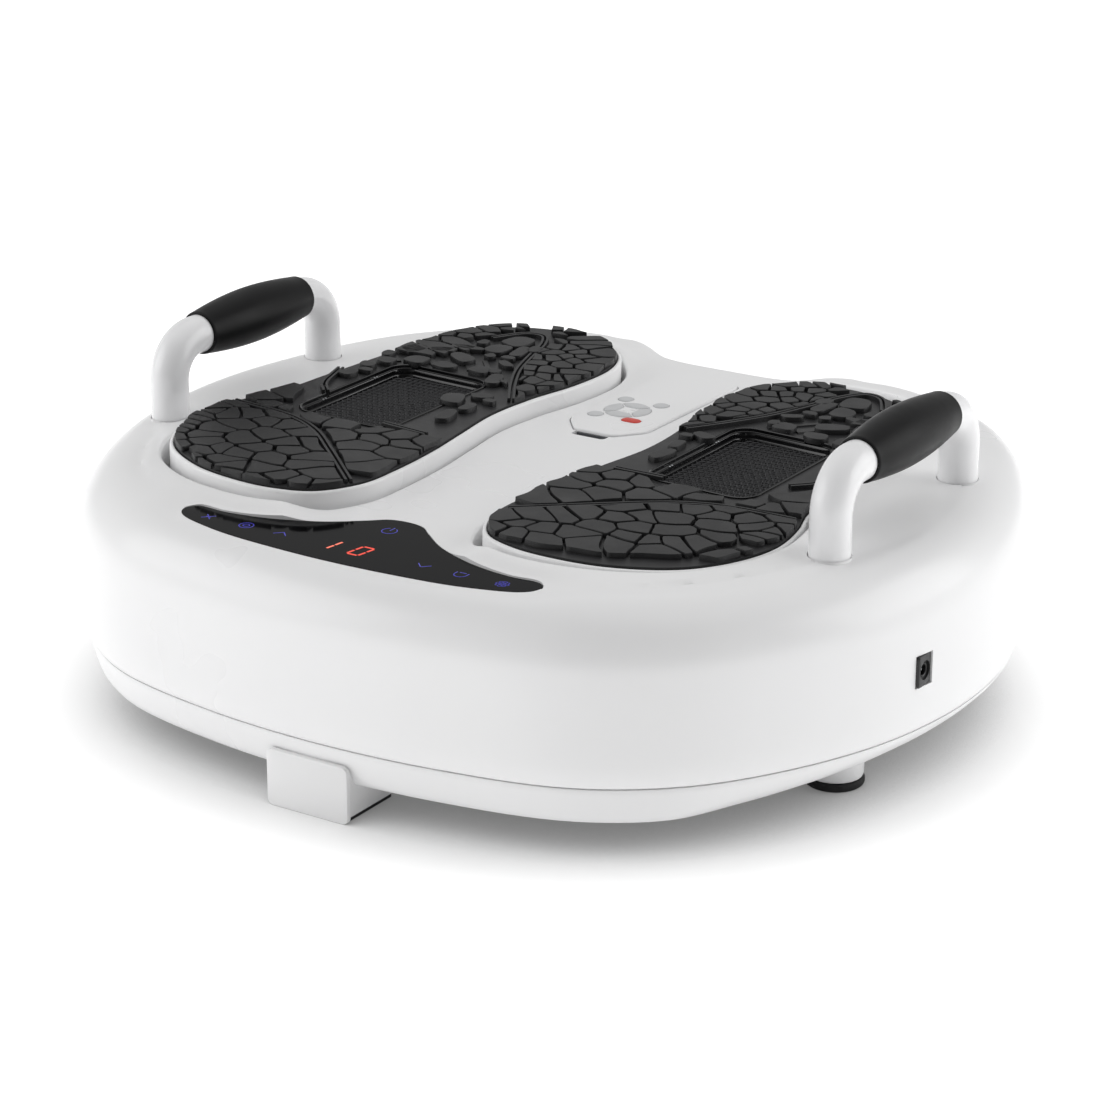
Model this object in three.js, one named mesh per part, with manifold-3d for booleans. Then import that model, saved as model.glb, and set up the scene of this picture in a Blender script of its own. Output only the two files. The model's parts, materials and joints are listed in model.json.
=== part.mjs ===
// See-saw vibration plate: two rubber-soled foot plates on one rocker, which an eccentric rocks.
// Millimetres, +Z up, front of the machine towards -Y, origin on the floor under the middle of the body.
import * as THREE from 'three';
import { mergeVertices } from 'three/addons/utils/BufferGeometryUtils.js';
import Module from 'manifold-3d';

const wasm = await Module();
wasm.setup();

// ---- Driving dimensions: body ----
const BODY_WIDTH = 566;
const BODY_DEPTH = 495;
const BODY_TOP = 146.2;
const SEAM_Z = 43.7;
const SEAM_GAP = 0.8;
const TRAY_BOTTOM = 20;
const WALL = 3;
const TOP_WALL = 4;
const EDGE_RADIUS = 38;
const BACK_EDGE_RADIUS = 26;
const NOTCH_EDGE_RADIUS = 12;
const NOTCH_HALF_WIDTH_NEAR = 55;
const NOTCH_HALF_WIDTH_FAR = 95;
const BACK_EDGE_FROM = 59.4;
const BACK_EDGE_TO = 173.25;
const VALLEY_DROP = 4;
const SURROUND_RISE = 2.6;
const SURROUND_WIDTH = 8;
const VALLEY_WIDTH = 120;
const WALL_TUCK = 3.2;
const WALL_TUCK_MIDDLE = 1.2;
const WALL_TUCK_MIDDLE_RISE = 6;
const WALL_TUCK_RISE = 14;
const TRAY_LIP_REACH = 4;
const FLANK_START = 0.6;
const BOSS_RADIUS = 9;
const BOSS_X = 147.2;
const BOSS_Y = 108.9;

// ---- Clearances and overruns ----
const FIT_GAP = 0.3;
// How far a cutting shape runs past the faces it opens.
const PAST = 5;
// How deep two joined shapes reach into each other.
const SINK = 1;

// ---- Handles ----
const HANDLE_INSET = 53;
const HANDLE_SPAN = 156.4;
const HANDLE_Y = 4.5;
const HANDLE_TUBE = 23.6;
const HANDLE_TUBE_WALL = 1.5;
const HANDLE_RISE = 46;
const HANDLE_BEND = 24;
const GRIP_LENGTH = 101.6;
const GRIP_Y = 7;
const GRIP_WALL = 1.4;
const GRIP_SWELL = 4;
const GRIP_FULLNESS = 0.9;
const LEG_HOLE_GAP = 0.6;

// ---- Foot plates and soles ----
const SOLE_WIDTH = 155;
const SOLE_LENGTH = 358;
const SOLE_X = 121.5;
const SOLE_Y = 13.5;
const SOLE_TOP = 155.6;
const SOLE_THICKNESS = 6.7;
const PLATE_RIM = 3;
const PLATE_RIM_TOP = 151.4;
const PLATE_DECK = 4;
const PLATE_SKIRT_BOTTOM = 124;
const PLATE_SKIRT_WALL = 3;
const POST_RADIUS = 8;
const POST_PLACES = [[78, -60], [152, -60], [82, 100], [146, 100]];
const WELL_GAP = 4;
const WELL_WALL = 2.5;
const WELL_BOTTOM = 122;
const WINDOW_WIDTH = 73;
const WINDOW_LENGTH = 117;
const WINDOW_X = 119.5;
const WINDOW_Y = 21;
const WINDOW_CORNER = 14;
const WINDOW_SHIFT_X = 4;
const WINDOW_SHIFT_Y = 9;
const WINDOW_DEPTH = 10;
const WINDOW_FRAME_WALL = 2;
const WINDOW_LEDGE = 2;
const FRAME_FLANGE_RISE = 0.6;
const FRAME_TOP_DROP = 1;
const FRAME_SHELF = 2;
const FRAME_SHELF_INSET = 9;
const FRAME_SHELF_SLOPE = 0.2;
const GRILLE_THICKNESS = 1.2;

// ---- Rocker and drive ----
const PIVOT_Z = 94;
const PIVOT_RADIUS = 6;
const BUSH_WALL = 2.5;
const RUNNING_GAP = 0.3;
const ROCKER_SPAN = 340;
const BEAM_WIDTH = 36;
const BEAM_BOTTOM = 104;
const BEAM_TOP = 116;
const FRONT_BEAM_Y = -60;
const BACK_BEAM_Y = 100;
const SPINE_WIDTH = 44;
const HUB_LENGTH = 22;
const HUB_WIDTH = 30;
const HUB_WALL = 4;
const PIVOT_BLOCK_LENGTH = 14;
const PIVOT_BLOCK_WIDTH = 48;
const PIVOT_FLANGE_WIDTH = 64;
const BLOCK_GAP = 4;
const FLANGE_REACH = 5;
const FLANGE_THICKNESS = 5;
const SHAFT_OVERHANG = 5;
const PIVOT_CAP = 2.5;
const CRANK_ARM = 110;
const ECCENTRIC_THROW = 2.55;
const ECCENTRIC_RADIUS = 14;
const CONROD_WIDTH = 12;
const CONROD_PIN_Z = 95;
const CONROD_PIN_RADIUS = 3.5;
const CONROD_EYE_RADIUS = 7;
const BIG_END_WALL = 4.5;
const CONROD_SHANK = 10;
const LUG_THICKNESS = 9;
const LUG_WIDTH = 16;
const LUG_DROP = 8;
const LUG_GAP = 1;
const SHAFT_Z = 60;
const SHAFT_RADIUS = 6;
const BEARING_BLOCK_LENGTH = 12;
const BEARING_BLOCK_OFFSET = 26;
const BEARING_BLOCK_WIDTH = 30;
const BEARING_BLOCK_RISE = 15;
const BEARING_FLANGE_WIDTH = 48;
const SHAFT_END = 3;
const LARGE_PULLEY_RADIUS = 24;
const MOTOR_PULLEY_RADIUS = 8;
const PULLEY_WIDTH = 10;
const PULLEY_FLANGE = 1;
const PULLEY_GAP = 4;
const BELT_WIDTH = 8;
const BELT_THICKNESS = 2;
const MOTOR_X = 90;
const MOTOR_RADIUS = 27;
const MOTOR_LENGTH = 86;
const MOTOR_NOSE_RADIUS = 11;
const MOTOR_NOSE_PROUD = 1;
const MOTOR_CHAMFER = 2;
const MOTOR_SHAFT_RADIUS = 4;
const MOTOR_SHAFT_END = 2;
const MOTOR_SHAFT_INSIDE = 12;
const MOTOR_BORE_DEPTH = 14;
const BRACKET_GAP = 8;
const BRACKET_THICKNESS = 4;
const BRACKET_WIDTH = 66;
const BRACKET_RISE = 31;
const BRACKET_FOOT = 12;
const BRACKET_FOOT_THICKNESS = 3;
const BASE_THICKNESS = 4;
const BASE_LIFT = 5;
const BASE_INSET = 13;
const BASE_SIDE_INSET = 17;
const BASE_SLOT_WIDTH = 46;
const BASE_SLOT_LENGTH = 120;
const BASE_SLOT_CORNER = 12;
const BASE_SLOT_X = 178;
const BASE_SLOT_Y = 20;

// ---- Feet ----
const FOOT_COLUMN_RADIUS = 17;
const FOOT_PAD_HEIGHT = 5;
const FOOT_COLUMN_SINK = 9;
const FOOT_COLUMN_CHAMFER = 1;
const FOOT_COLUMN_CHAMFER_RISE = 1.5;
const FOOT_COLUMN_DRAFT = 1;
const FOOT_PAD_TUCK = 1.5;
const FOOT_PAD_BULGE = 0.4;
const FOOT_PAD_BULGE_RISE = 1.6;
const FOOT_PAD_TOP_TUCK = 0.6;
const FOOT_PAD_CHAMFER = 1;
const FRONT_FOOT_INSET = 60;
const FRONT_FOOT_Y = -46.5;
const BACK_FOOT_INSET = 75;
const BACK_FOOT_REACH = 110;
const KICK_WIDTH = 55.4;
const KICK_TOP = 34.2;
const KICK_DEPTH = 44;
const KICK_COVER = 3;
const KICK_PAD = 2.5;
const KICK_PROUD = 1.8;
const KICK_CORNER = 4;
const KICK_BLOCK_INSET = 1;
const KICK_PAD_INSET = 3;
const KICK_PAD_SETBACK = 2;

// ---- Touch panel, display, inlet ----
const PANEL_THICKNESS = 2.2;
const PANEL_WIDTH = 243;
const PANEL_INSET = 26;
const PANEL_LENGTH = 76;
const PANEL_FLAT_MARGIN = 10;
const PANEL_PROUD = 0.2;
const DISPLAY_WIDTH = 46;
const DISPLAY_DEPTH = 24;
const DISPLAY_HEIGHT = 9;
const DISPLAY_X = -3;
const DISPLAY_SETBACK = 22.5;
const DISPLAY_CLEARANCE = 1;
const DISPLAY_BOARD_SIDE = 6;
const DISPLAY_BOARD_FRONT = 2;
const DISPLAY_BOARD_BACK = 3;
const BOARD_THICKNESS = 1.6;
const BOARD_SINK = 0.1;
const INLET_WIDTH = 14;
const INLET_HEIGHT = 18.5;
const INLET_Y = -48.5;
const INLET_Z = 80.8;
const INLET_DEPTH = 16;
const INLET_BORE = 3.2;
const INLET_RECESS = 5;
const INLET_ROOM = 6;
const INLET_MOUTH = 10;
const INLET_PIN_RADIUS = 1;
const INLET_PIN_SETBACK = 3;

// ---- Control board ----
const BOARD_X = 96;
const BOARD_Y = 150;
const BOARD_WIDTH = 110;
const BOARD_LENGTH = 64;
const BOARD_LIFT = 5;
const STANDOFF_X = 47;
const STANDOFF_WIDTH = 6;
const STANDOFF_LENGTH = 8;
const STANDOFF_SINK = 0.5;
const BOARD_BLOCKS = [
  { x: -24, y: -17, width: 32, length: 18, top: 24 },
  { x: 20, y: 14, width: 30, length: 20, top: 18 },
];
const BOARD_CAPACITORS = [{ x: -26, y: 14, radius: 8, top: 28 }, { x: 20, y: -16, radius: 6, top: 22 }];

// ---- Remote control ----
const REMOTE_WIDTH = 56;
const REMOTE_FRONT = 50;
const REMOTE_BACK = 182;
const REMOTE_NOSE = 28;
const REMOTE_CHAMFER = 17;
const REMOTE_CORNER = 7;
const REMOTE_CORNER_CUT = 0.3;
const REMOTE_THICKNESS = 12;
const REMOTE_PROUD = 1.2;
const REMOTE_WALL = 2;
const REMOTE_SPLIT = 7.2;
const REMOTE_GAP = 0.6;
const NOTCH_WIDTH = 24;
const NOTCH_REACH = 8;
const BUTTON_RADIUS = 5.2;
const BUTTON_PROUD = 0.9;
const BUTTON_GAP = 0.35;
const BUTTON_FOOT = 1.2;
const COVER_WALL = 1.6;
const PAD_X = -5;
const PAD_Y = 98;
const PETAL_RING = 10;
const PETAL_RADIUS = 5.6;
const CORNER_X = 13;
const CORNER_FRONT = 17;
const CORNER_BACK = 19;
const LED_RADIUS = 2.5;
const LED_TIP_RADIUS = 1.4;
const LED_TIP = 0.8;
const LED_DOME = 0.4;
const LED_SHOULDER = 1;
const LED_LENGTH = 4;
const LED_DROP = 3.4;
const REMOTE_BOARD_GAP = 1;
const REMOTE_BOARD_BACK = 42;
const REMOTE_BOARD_DROP = 0.6;
const REMOTE_BOARD_RISE = 0.2;
const CELL_RADIUS = 10;
const CELL_THICKNESS = 3.2;
const CELL_LIFT = 1.6;
const CELL_SETBACK = 20;
const CELL_TRAY_WIDTH = 28;
const CELL_TRAY_FRONT = 13;
const CELL_TRAY_BACK = 16;
const CELL_TRAY_TOP = 4.4;

// ---- How finely round stretches are divided ----
const BODY_STEPS = 52;
const SOLE_STEPS = 36;
const PANEL_STEPS = 40;
const EDGE_STEPS = 4;
const TURNED_STEPS = 16;
const BUTTON_STEPS = 10;
const HANDLE_STEPS = 12;
const HANDLE_BORE_STEPS = 6;
const HANDLE_BEND_STEPS = 5;
const GRIP_STATIONS = 6;
const LARGE_WRAP_STEPS = 14;
const SMALL_WRAP_STEPS = 8;

// ---- Sizes that follow from the ones above ----
const VALLEY_Z = BODY_TOP - VALLEY_DROP;
const SURROUND_TOP = BODY_TOP + SURROUND_RISE;
const HANDLE_X = BODY_WIDTH / 2 - HANDLE_INSET;
const HANDLE_TOP = BODY_TOP + HANDLE_RISE;
const SOLE_BOTTOM = SOLE_TOP - SOLE_THICKNESS;
const DECK_TOP = SOLE_BOTTOM - FIT_GAP;
const BASE_BOTTOM = TRAY_BOTTOM + WALL + BASE_LIFT;
const BASE_TOP = BASE_BOTTOM + BASE_THICKNESS;
const BIG_END_CLEARANCE = 2 * ECCENTRIC_THROW + 0.5;
const CONROD_LENGTH = CONROD_PIN_Z - SHAFT_Z;
const REST_TILT = Math.asin(ECCENTRIC_THROW / CRANK_ARM);
const REMOTE_TOP = VALLEY_Z + REMOTE_PROUD;
const REMOTE_BOTTOM = REMOTE_TOP - REMOTE_THICKNESS;
const REMOTE_SPLIT_Z = REMOTE_BOTTOM + REMOTE_SPLIT;
const PULLEY_BACK = FRONT_BEAM_Y - BEARING_BLOCK_OFFSET - BEARING_BLOCK_LENGTH / 2 - PULLEY_GAP;
const PULLEY_Y = PULLEY_BACK - PULLEY_WIDTH / 2;
const MOTOR_FACE = PULLEY_Y + PULLEY_WIDTH / 2 + BRACKET_GAP;
const FRONT_BLOCK_Y = FRONT_BEAM_Y + HUB_LENGTH / 2 + PIVOT_BLOCK_LENGTH / 2 + BLOCK_GAP;
const BACK_BLOCK_Y = BACK_BEAM_Y - HUB_LENGTH / 2 - PIVOT_BLOCK_LENGTH / 2 - BLOCK_GAP;
const SHAFT_FRONT = PULLEY_Y - PULLEY_WIDTH / 2 - SHAFT_END;
const SHAFT_BACK = FRONT_BEAM_Y + BEARING_BLOCK_OFFSET + BEARING_BLOCK_LENGTH / 2 + SHAFT_END;
const PANEL_FRONT = PANEL_INSET - BODY_DEPTH / 2;
const DISPLAY_Y = PANEL_FRONT + DISPLAY_SETBACK;
const FRONT_FOOT_X = BODY_WIDTH / 2 - FRONT_FOOT_INSET;
const BACK_FOOT_X = BODY_WIDTH / 2 - BACK_FOOT_INSET;
const BACK_FOOT_Y = BODY_DEPTH / 2 - BACK_FOOT_REACH;
const KICK_FACE = KICK_PROUD - BODY_DEPTH / 2;
const KICK_BLOCK_FRONT = KICK_FACE + KICK_COVER + FIT_GAP;
const CELL_Y = REMOTE_BACK - CELL_SETBACK;
const REMOTE_FLOOR = REMOTE_BOTTOM + REMOTE_WALL;
const LED_Z = REMOTE_SPLIT_Z - LED_DROP;
const FRAME_WALL_INSET = WINDOW_LEDGE + FIT_GAP + WINDOW_FRAME_WALL;

// ---- Finishes ----
function finish(color, roughness, metalness) {
  return new THREE.MeshStandardMaterial({ color, roughness, metalness });
}

const WHITE_ABS = finish(0xf3f3f4, 0.18, 0);
const WHITE_COAT = finish(0xf1f1f2, 0.25, 0);
const BLACK_RUBBER = finish(0x2c2d2f, 0.75, 0);
const GRIP_FOAM = finish(0x232425, 0.55, 0);
const BLACK_GLOSS = finish(0x0b0c10, 0.08, 0);
const BLACK_ABS = finish(0x18191b, 0.35, 0);
const GREY_BUTTON = finish(0xc9cacc, 0.4, 0);
const RED_BUTTON = finish(0xd8331f, 0.35, 0);
const CLEAR_SMOKE = finish(0x6b6e75, 0.1, 0);
const STEEL = finish(0x9a9da1, 0.4, 1);
const PAINTED_STEEL = finish(0x3a3d42, 0.5, 0.6);
const BRONZE = finish(0xa9793f, 0.35, 1);
const CIRCUIT_GREEN = finish(0x1f5b38, 0.5, 0);

// ---- Outline helpers ----
function halfToFull(half) {
  const left = half.filter(([x]) => x > 0).map(([x, y]) => [-x, y]).reverse();
  return [...half, ...left];
}

function smoothClosed(points, count) {
  const knots = points.map(([x, y]) => new THREE.Vector3(x, y, 0));
  const curve = new THREE.CatmullRomCurve3(knots, true, 'centripetal');
  return curve.getPoints(count).slice(0, count).map((p) => new THREE.Vector2(p.x, p.y));
}

function fitToBox(points, width, length, centreX, centreY) {
  const box = new THREE.Box2().setFromPoints(points);
  const middle = box.getCenter(new THREE.Vector2());
  const size = box.getSize(new THREE.Vector2());
  return points.map((p) => new THREE.Vector2(
    centreX + (p.x - middle.x) * width / size.x,
    centreY + (p.y - middle.y) * length / size.y,
  ));
}

function outwardNormals(points) {
  return points.map((_, i) => {
    const before = points[(i + points.length - 1) % points.length];
    const after = points[(i + 1) % points.length];
    return new THREE.Vector2(after.y - before.y, before.x - after.x).normalize();
  });
}

function grow(points, distance) {
  const normals = outwardNormals(points);
  return points.map((p, i) => p.clone().addScaledVector(normals[i], distance));
}

function roundedBox(width, length, radius, centreX = 0, centreY = 0, steps = 4) {
  const points = [];
  const corners = [[1, -1, -90], [1, 1, 0], [-1, 1, 90], [-1, -1, 180]];
  for (const [sideX, sideY, start] of corners) {
    for (let step = 0; step <= steps; step += 1) {
      const angle = THREE.MathUtils.degToRad(start + 90 * step / steps);
      points.push(new THREE.Vector2(
        centreX + sideX * (width / 2 - radius) + radius * Math.cos(angle),
        centreY + sideY * (length / 2 - radius) + radius * Math.sin(angle),
      ));
    }
  }
  return points;
}

function circle(radius, centreX = 0, centreY = 0, count = TURNED_STEPS) {
  return Array.from({ length: count }, (_, i) => {
    const angle = 2 * Math.PI * i / count;
    return new THREE.Vector2(centreX + radius * Math.cos(angle), centreY + radius * Math.sin(angle));
  });
}

const mirrored = (points) => points.map((p) => new THREE.Vector2(-p.x, p.y)).reverse();

// ---- Solid helpers ----
function facingOut(geometry) {
  const bare = geometry.index ? geometry.toNonIndexed() : geometry.clone();
  bare.deleteAttribute('normal');
  bare.deleteAttribute('uv');
  const merged = mergeVertices(bare, 1e-4);
  const place = merged.attributes.position;
  const index = merged.index.array;
  const [a, b, c] = [new THREE.Vector3(), new THREE.Vector3(), new THREE.Vector3()];
  let volume = 0;
  for (let i = 0; i < index.length; i += 3) {
    a.fromBufferAttribute(place, index[i]);
    b.fromBufferAttribute(place, index[i + 1]);
    c.fromBufferAttribute(place, index[i + 2]);
    volume += a.dot(b.cross(c));
  }
  if (volume < 0) {
    for (let i = 0; i < index.length; i += 3) {
      [index[i + 1], index[i + 2]] = [index[i + 2], index[i + 1]];
    }
  }
  return merged;
}

function toManifold(geometry) {
  const merged = facingOut(geometry);
  return new wasm.Manifold(new wasm.Mesh({
    numProp: 3,
    vertProperties: new Float32Array(merged.attributes.position.array),
    triVerts: new Uint32Array(merged.index.array),
  }));
}

function toGeometry(manifold) {
  const mesh = manifold.getMesh();
  const geometry = new THREE.BufferGeometry();
  geometry.setAttribute('position', new THREE.BufferAttribute(mesh.vertProperties, 3));
  geometry.setIndex(new THREE.BufferAttribute(mesh.triVerts, 1));
  return geometry;
}

const join = (...pieces) => toGeometry(pieces.map(toManifold).reduce((sum, next) => sum.add(next)));
function cut(piece, ...tools) {
  return toGeometry(tools.map(toManifold).reduce((left, tool) => left.subtract(tool), toManifold(piece)));
}

function prism(points, low, high, holes = []) {
  const shape = new THREE.Shape(points);
  shape.holes = holes.map((hole) => new THREE.Path(hole));
  const geometry = new THREE.ExtrudeGeometry(shape, { depth: high - low, bevelEnabled: false });
  return geometry.translate(0, 0, low);
}

// A closed skin through rings of the same number of points, from the bottom ring to the top one.
function loft(rings) {
  const count = rings[0].length;
  const positions = rings.flat().flatMap((p) => [p.x, p.y, p.z]);
  const index = [];
  for (let ring = 0; ring + 1 < rings.length; ring += 1) {
    for (let i = 0; i < count; i += 1) {
      const a = ring * count + i;
      const b = ring * count + (i + 1) % count;
      index.push(a, b, a + count, b, b + count, a + count);
    }
  }
  const last = (rings.length - 1) * count;
  const lid = (ring) => THREE.ShapeUtils.triangulateShape(ring.map((p) => new THREE.Vector2(p.x, p.y)), []);
  for (const [a, b, c] of lid(rings[0])) {
    index.push(a, c, b);
  }
  for (const [a, b, c] of lid(rings.at(-1))) {
    index.push(last + a, last + b, last + c);
  }
  const geometry = new THREE.BufferGeometry();
  geometry.setAttribute('position', new THREE.Float32BufferAttribute(positions, 3));
  geometry.setIndex(index);
  return geometry;
}

const ringAt = (points, z) => points.map((p) => new THREE.Vector3(p.x, p.y, z));

function box(xLow, xHigh, yLow, yHigh, zLow, zHigh) {
  const geometry = new THREE.BoxGeometry(xHigh - xLow, yHigh - yLow, zHigh - zLow);
  return geometry.translate((xLow + xHigh) / 2, (yLow + yHigh) / 2, (zLow + zHigh) / 2);
}

// A box by its middle, its width and length, and its lower and upper faces.
function block(x, y, width, length, low, high) {
  return box(x - width / 2, x + width / 2, y - length / 2, y + length / 2, low, high);
}

// A turned piece along Y. Its profile lists [radius, y], and starts and ends on the axis or closes on itself.
function turnedAlongY(profile, x = 0, z = 0, segments = TURNED_STEPS) {
  const points = profile.map(([radius, y]) => new THREE.Vector2(radius, y));
  return new THREE.LatheGeometry(points, segments).translate(x, 0, z);
}

const turnedAlongZ = (profile, x, y, segments = TURNED_STEPS) => turnedAlongY(profile, 0, 0, segments)
  .rotateX(Math.PI / 2).translate(x, y, 0);

const rodAlongY = (radius, low, high, x, z, segments = TURNED_STEPS) => turnedAlongY(
  [[0, low], [radius, low], [radius, high], [0, high]], x, z, segments);

const tubeAlongY = (inner, outer, low, high, x, z, segments = TURNED_STEPS) => turnedAlongY(
  [[inner, low], [outer, low], [outer, high], [inner, high], [inner, low]], x, z, segments);

function piece(name, geometry, material) {
  const mesh = new THREE.Mesh(facingOut(geometry), material.clone());
  mesh.name = name;
  return mesh;
}

// ---- Outlines shared by the pieces ----
const BODY_HALF = [
  [0, -1], [0.283, -0.976], [0.548, -0.903], [0.724, -0.77], [0.848, -0.588], [0.954, -0.325], [1, -0.042],
  [0.989, 0.22], [0.947, 0.402], [0.883, 0.564], [0.795, 0.725], [0.689, 0.855], [0.53, 0.956], [0.389, 1],
  [0.283, 0.98], [0.17, 0.883], [0, 0.867],
];

function bodyOutline(count) {
  return fitToBox(smoothClosed(halfToFull(BODY_HALF), count), BODY_WIDTH, BODY_DEPTH, 0, 0);
}

const SOLE_RIGHT = [
  [104, -166], [140, -160], [174, -140], [192, -112], [199, -83], [195, -50], [187, -24], [183, 25],
  [179, 75], [174, 118], [163, 157], [143, 181], [108, 192], [80, 187], [58, 168], [47, 140], [47, 100],
  [54, 58], [56, 18], [51, -22], [46, -60], [44, -100], [46, -130], [60, -155], [80, -164],
];
const soleOutline = fitToBox(smoothClosed(SOLE_RIGHT, SOLE_STEPS), SOLE_WIDTH, SOLE_LENGTH, SOLE_X, SOLE_Y);
const plateOutline = grow(soleOutline, PLATE_RIM);
const wellOutline = grow(plateOutline, WELL_GAP);

// The window sits a little further out and forward on the left sole than on the right.
const windowX = (side) => side * WINDOW_X - WINDOW_SHIFT_X;
const windowY = (side) => WINDOW_Y + side * WINDOW_SHIFT_Y;
const windowOutline = (side, inset) => roundedBox(WINDOW_WIDTH - 2 * inset, WINDOW_LENGTH - 2 * inset,
  WINDOW_CORNER - inset, windowX(side), windowY(side));

const onSide = (points, side) => (side > 0 ? points : mirrored(points));

const PANEL_HALF = [
  [0, 1], [0.09, 0.974], [0.172, 0.868], [0.336, 0.671], [0.582, 0.507], [0.8, 0.447], [0.951, 0.454],
  [1, 0.375], [0.984, 0.28], [0.918, 0.197], [0.656, 0.079], [0.328, 0.02], [0, 0],
];
const panelCurve = smoothClosed(halfToFull(PANEL_HALF).reverse(), PANEL_STEPS);
const panelOutline = fitToBox(panelCurve, PANEL_WIDTH, PANEL_LENGTH, 0, PANEL_FRONT + PANEL_LENGTH / 2);

function remoteOutline(margin) {
  const side = REMOTE_WIDTH / 2 + margin;
  const nose = REMOTE_NOSE / 2 + margin / 2;
  const front = REMOTE_FRONT - margin;
  const back = REMOTE_BACK + margin;
  const corner = REMOTE_CORNER;
  const cutBack = corner * REMOTE_CORNER_CUT;
  const half = [
    [nose, front], [side, front + REMOTE_CHAMFER + margin], [side, back - corner],
    [side - cutBack, back - cutBack], [side - corner, back],
  ];
  return halfToFull(half).map(([x, y]) => new THREE.Vector2(x, y));
}

// ---- Body ----
const blendStep = (value, low, high) => THREE.MathUtils.smoothstep(value, low, high);

function edgeRadius(p) {
  const backShare = blendStep(p.y, BACK_EDGE_FROM, BACK_EDGE_TO);
  const notchShare = blendStep(-Math.abs(p.x), -NOTCH_HALF_WIDTH_FAR, -NOTCH_HALF_WIDTH_NEAR) * backShare;
  const radius = THREE.MathUtils.lerp(EDGE_RADIUS, BACK_EDGE_RADIUS, backShare);
  return THREE.MathUtils.lerp(radius, NOTCH_EDGE_RADIUS, notchShare);
}

// Rings of the shell: in at the seam, upright wall, then a quarter-round edge up to the flat top.
function shellSkin(count, inset, low, top) {
  const outline = bodyOutline(count);
  const normals = outwardNormals(outline);
  const ring = (depthAt, heightAt) => outline.map((p, i) => {
    const moved = p.clone().addScaledVector(normals[i], -inset - depthAt(p));
    return new THREE.Vector3(moved.x, moved.y, heightAt(p));
  });
  const level = (depth, z) => ring(() => depth, () => z);
  const rings = [
    level(WALL_TUCK, low),
    level(WALL_TUCK_MIDDLE, SEAM_Z + WALL_TUCK_MIDDLE_RISE),
    level(0, SEAM_Z + WALL_TUCK_RISE),
  ];
  const radiusAt = (p) => edgeRadius(p) - inset;
  for (let step = 0; step <= EDGE_STEPS; step += 1) {
    const angle = Math.PI / 2 * step / EDGE_STEPS;
    const [inward, upward] = [1 - Math.cos(angle), 1 - Math.sin(angle)];
    rings.push(ring((p) => radiusAt(p) * inward, (p) => top - radiusAt(p) * upward));
  }
  return loft(rings);
}

function inletPocket(margin) {
  return box(BODY_WIDTH / 2 - INLET_DEPTH - INLET_ROOM, BODY_WIDTH / 2 + PAST,
    INLET_Y - INLET_WIDTH / 2 - margin, INLET_Y + INLET_WIDTH / 2 + margin,
    INLET_Z - INLET_HEIGHT / 2 - margin, INLET_Z + INLET_HEIGHT / 2 + margin);
}

// The flats in the crowned top: the valley between the wells, and the seat of the touch panel.
function topFlats() {
  const above = SURROUND_TOP + PAST;
  const panelHalf = PANEL_WIDTH / 2 + PANEL_FLAT_MARGIN;
  return [
    box(-VALLEY_WIDTH / 2, VALLEY_WIDTH / 2, -BODY_DEPTH, BODY_DEPTH, VALLEY_Z, above),
    box(-panelHalf, panelHalf, -BODY_DEPTH, PANEL_FRONT + PANEL_LENGTH / 2, VALLEY_Z, above),
  ];
}

function legHoles() {
  const radius = HANDLE_TUBE / 2 + LEG_HOLE_GAP;
  const places = [1, -1].flatMap((side) => [1, -1].map((end) => [side, end]));
  return places.map(([side, end]) => prism(
    circle(radius, side * HANDLE_X, HANDLE_Y + end * HANDLE_SPAN / 2),
    BODY_TOP - EDGE_RADIUS, SURROUND_TOP + PAST));
}

function topShell() {
  const above = SURROUND_TOP + PAST;
  const outer = shellSkin(BODY_STEPS, 0, SEAM_Z + SEAM_GAP / 2, BODY_TOP);
  const hollow = shellSkin(BODY_STEPS, WALL, SEAM_Z - PAST, VALLEY_Z - TOP_WALL);
  let shell = cut(outer, hollow, ...topFlats());
  const wells = [wellOutline, mirrored(wellOutline)];
  for (const well of wells) {
    const surround = prism(grow(well, SURROUND_WIDTH), VALLEY_Z - SINK, SURROUND_TOP);
    shell = join(shell, surround, prism(grow(well, WELL_WALL), WELL_BOTTOM, VALLEY_Z));
  }
  const pocketLow = REMOTE_BOTTOM - REMOTE_GAP;
  const notchMiddle = REMOTE_FRONT + NOTCH_REACH / 2;
  const notch = roundedBox(NOTCH_WIDTH, NOTCH_REACH * 3, NOTCH_WIDTH / 3, 0, notchMiddle);
  for (const pocket of [remoteOutline(REMOTE_GAP + WELL_WALL), grow(notch, WELL_WALL)]) {
    shell = join(shell, prism(pocket, pocketLow - WELL_WALL, VALLEY_Z - SINK));
  }
  const displayHole = block(DISPLAY_X, DISPLAY_Y, DISPLAY_WIDTH + 2 * DISPLAY_CLEARANCE,
    DISPLAY_DEPTH + 2 * DISPLAY_CLEARANCE, VALLEY_Z - TOP_WALL - PAST, VALLEY_Z);
  return cut(shell,
    ...wells.map((well) => prism(well, WELL_BOTTOM - PAST, above)),
    prism(remoteOutline(REMOTE_GAP), pocketLow, above),
    prism(notch, pocketLow, above),
    prism(grow(panelOutline, FIT_GAP), VALLEY_Z - PANEL_THICKNESS, above),
    displayHole, inletPocket(FIT_GAP), ...legHoles());
}

// The tray's outside: height above its floor, inset from the body outline, and what its flanks add.
const TRAY_PROFILE = [
  { rise: 0, inset: 14, flank: 30 },
  { rise: 2, inset: 10, flank: 27 },
  { rise: 8, inset: 6.5, flank: 15 },
  { rise: 16, inset: 4.5, flank: 5 },
  { rise: SEAM_Z - SEAM_GAP / 2 - TRAY_BOTTOM, inset: 3.5, flank: 0 },
];

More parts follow.
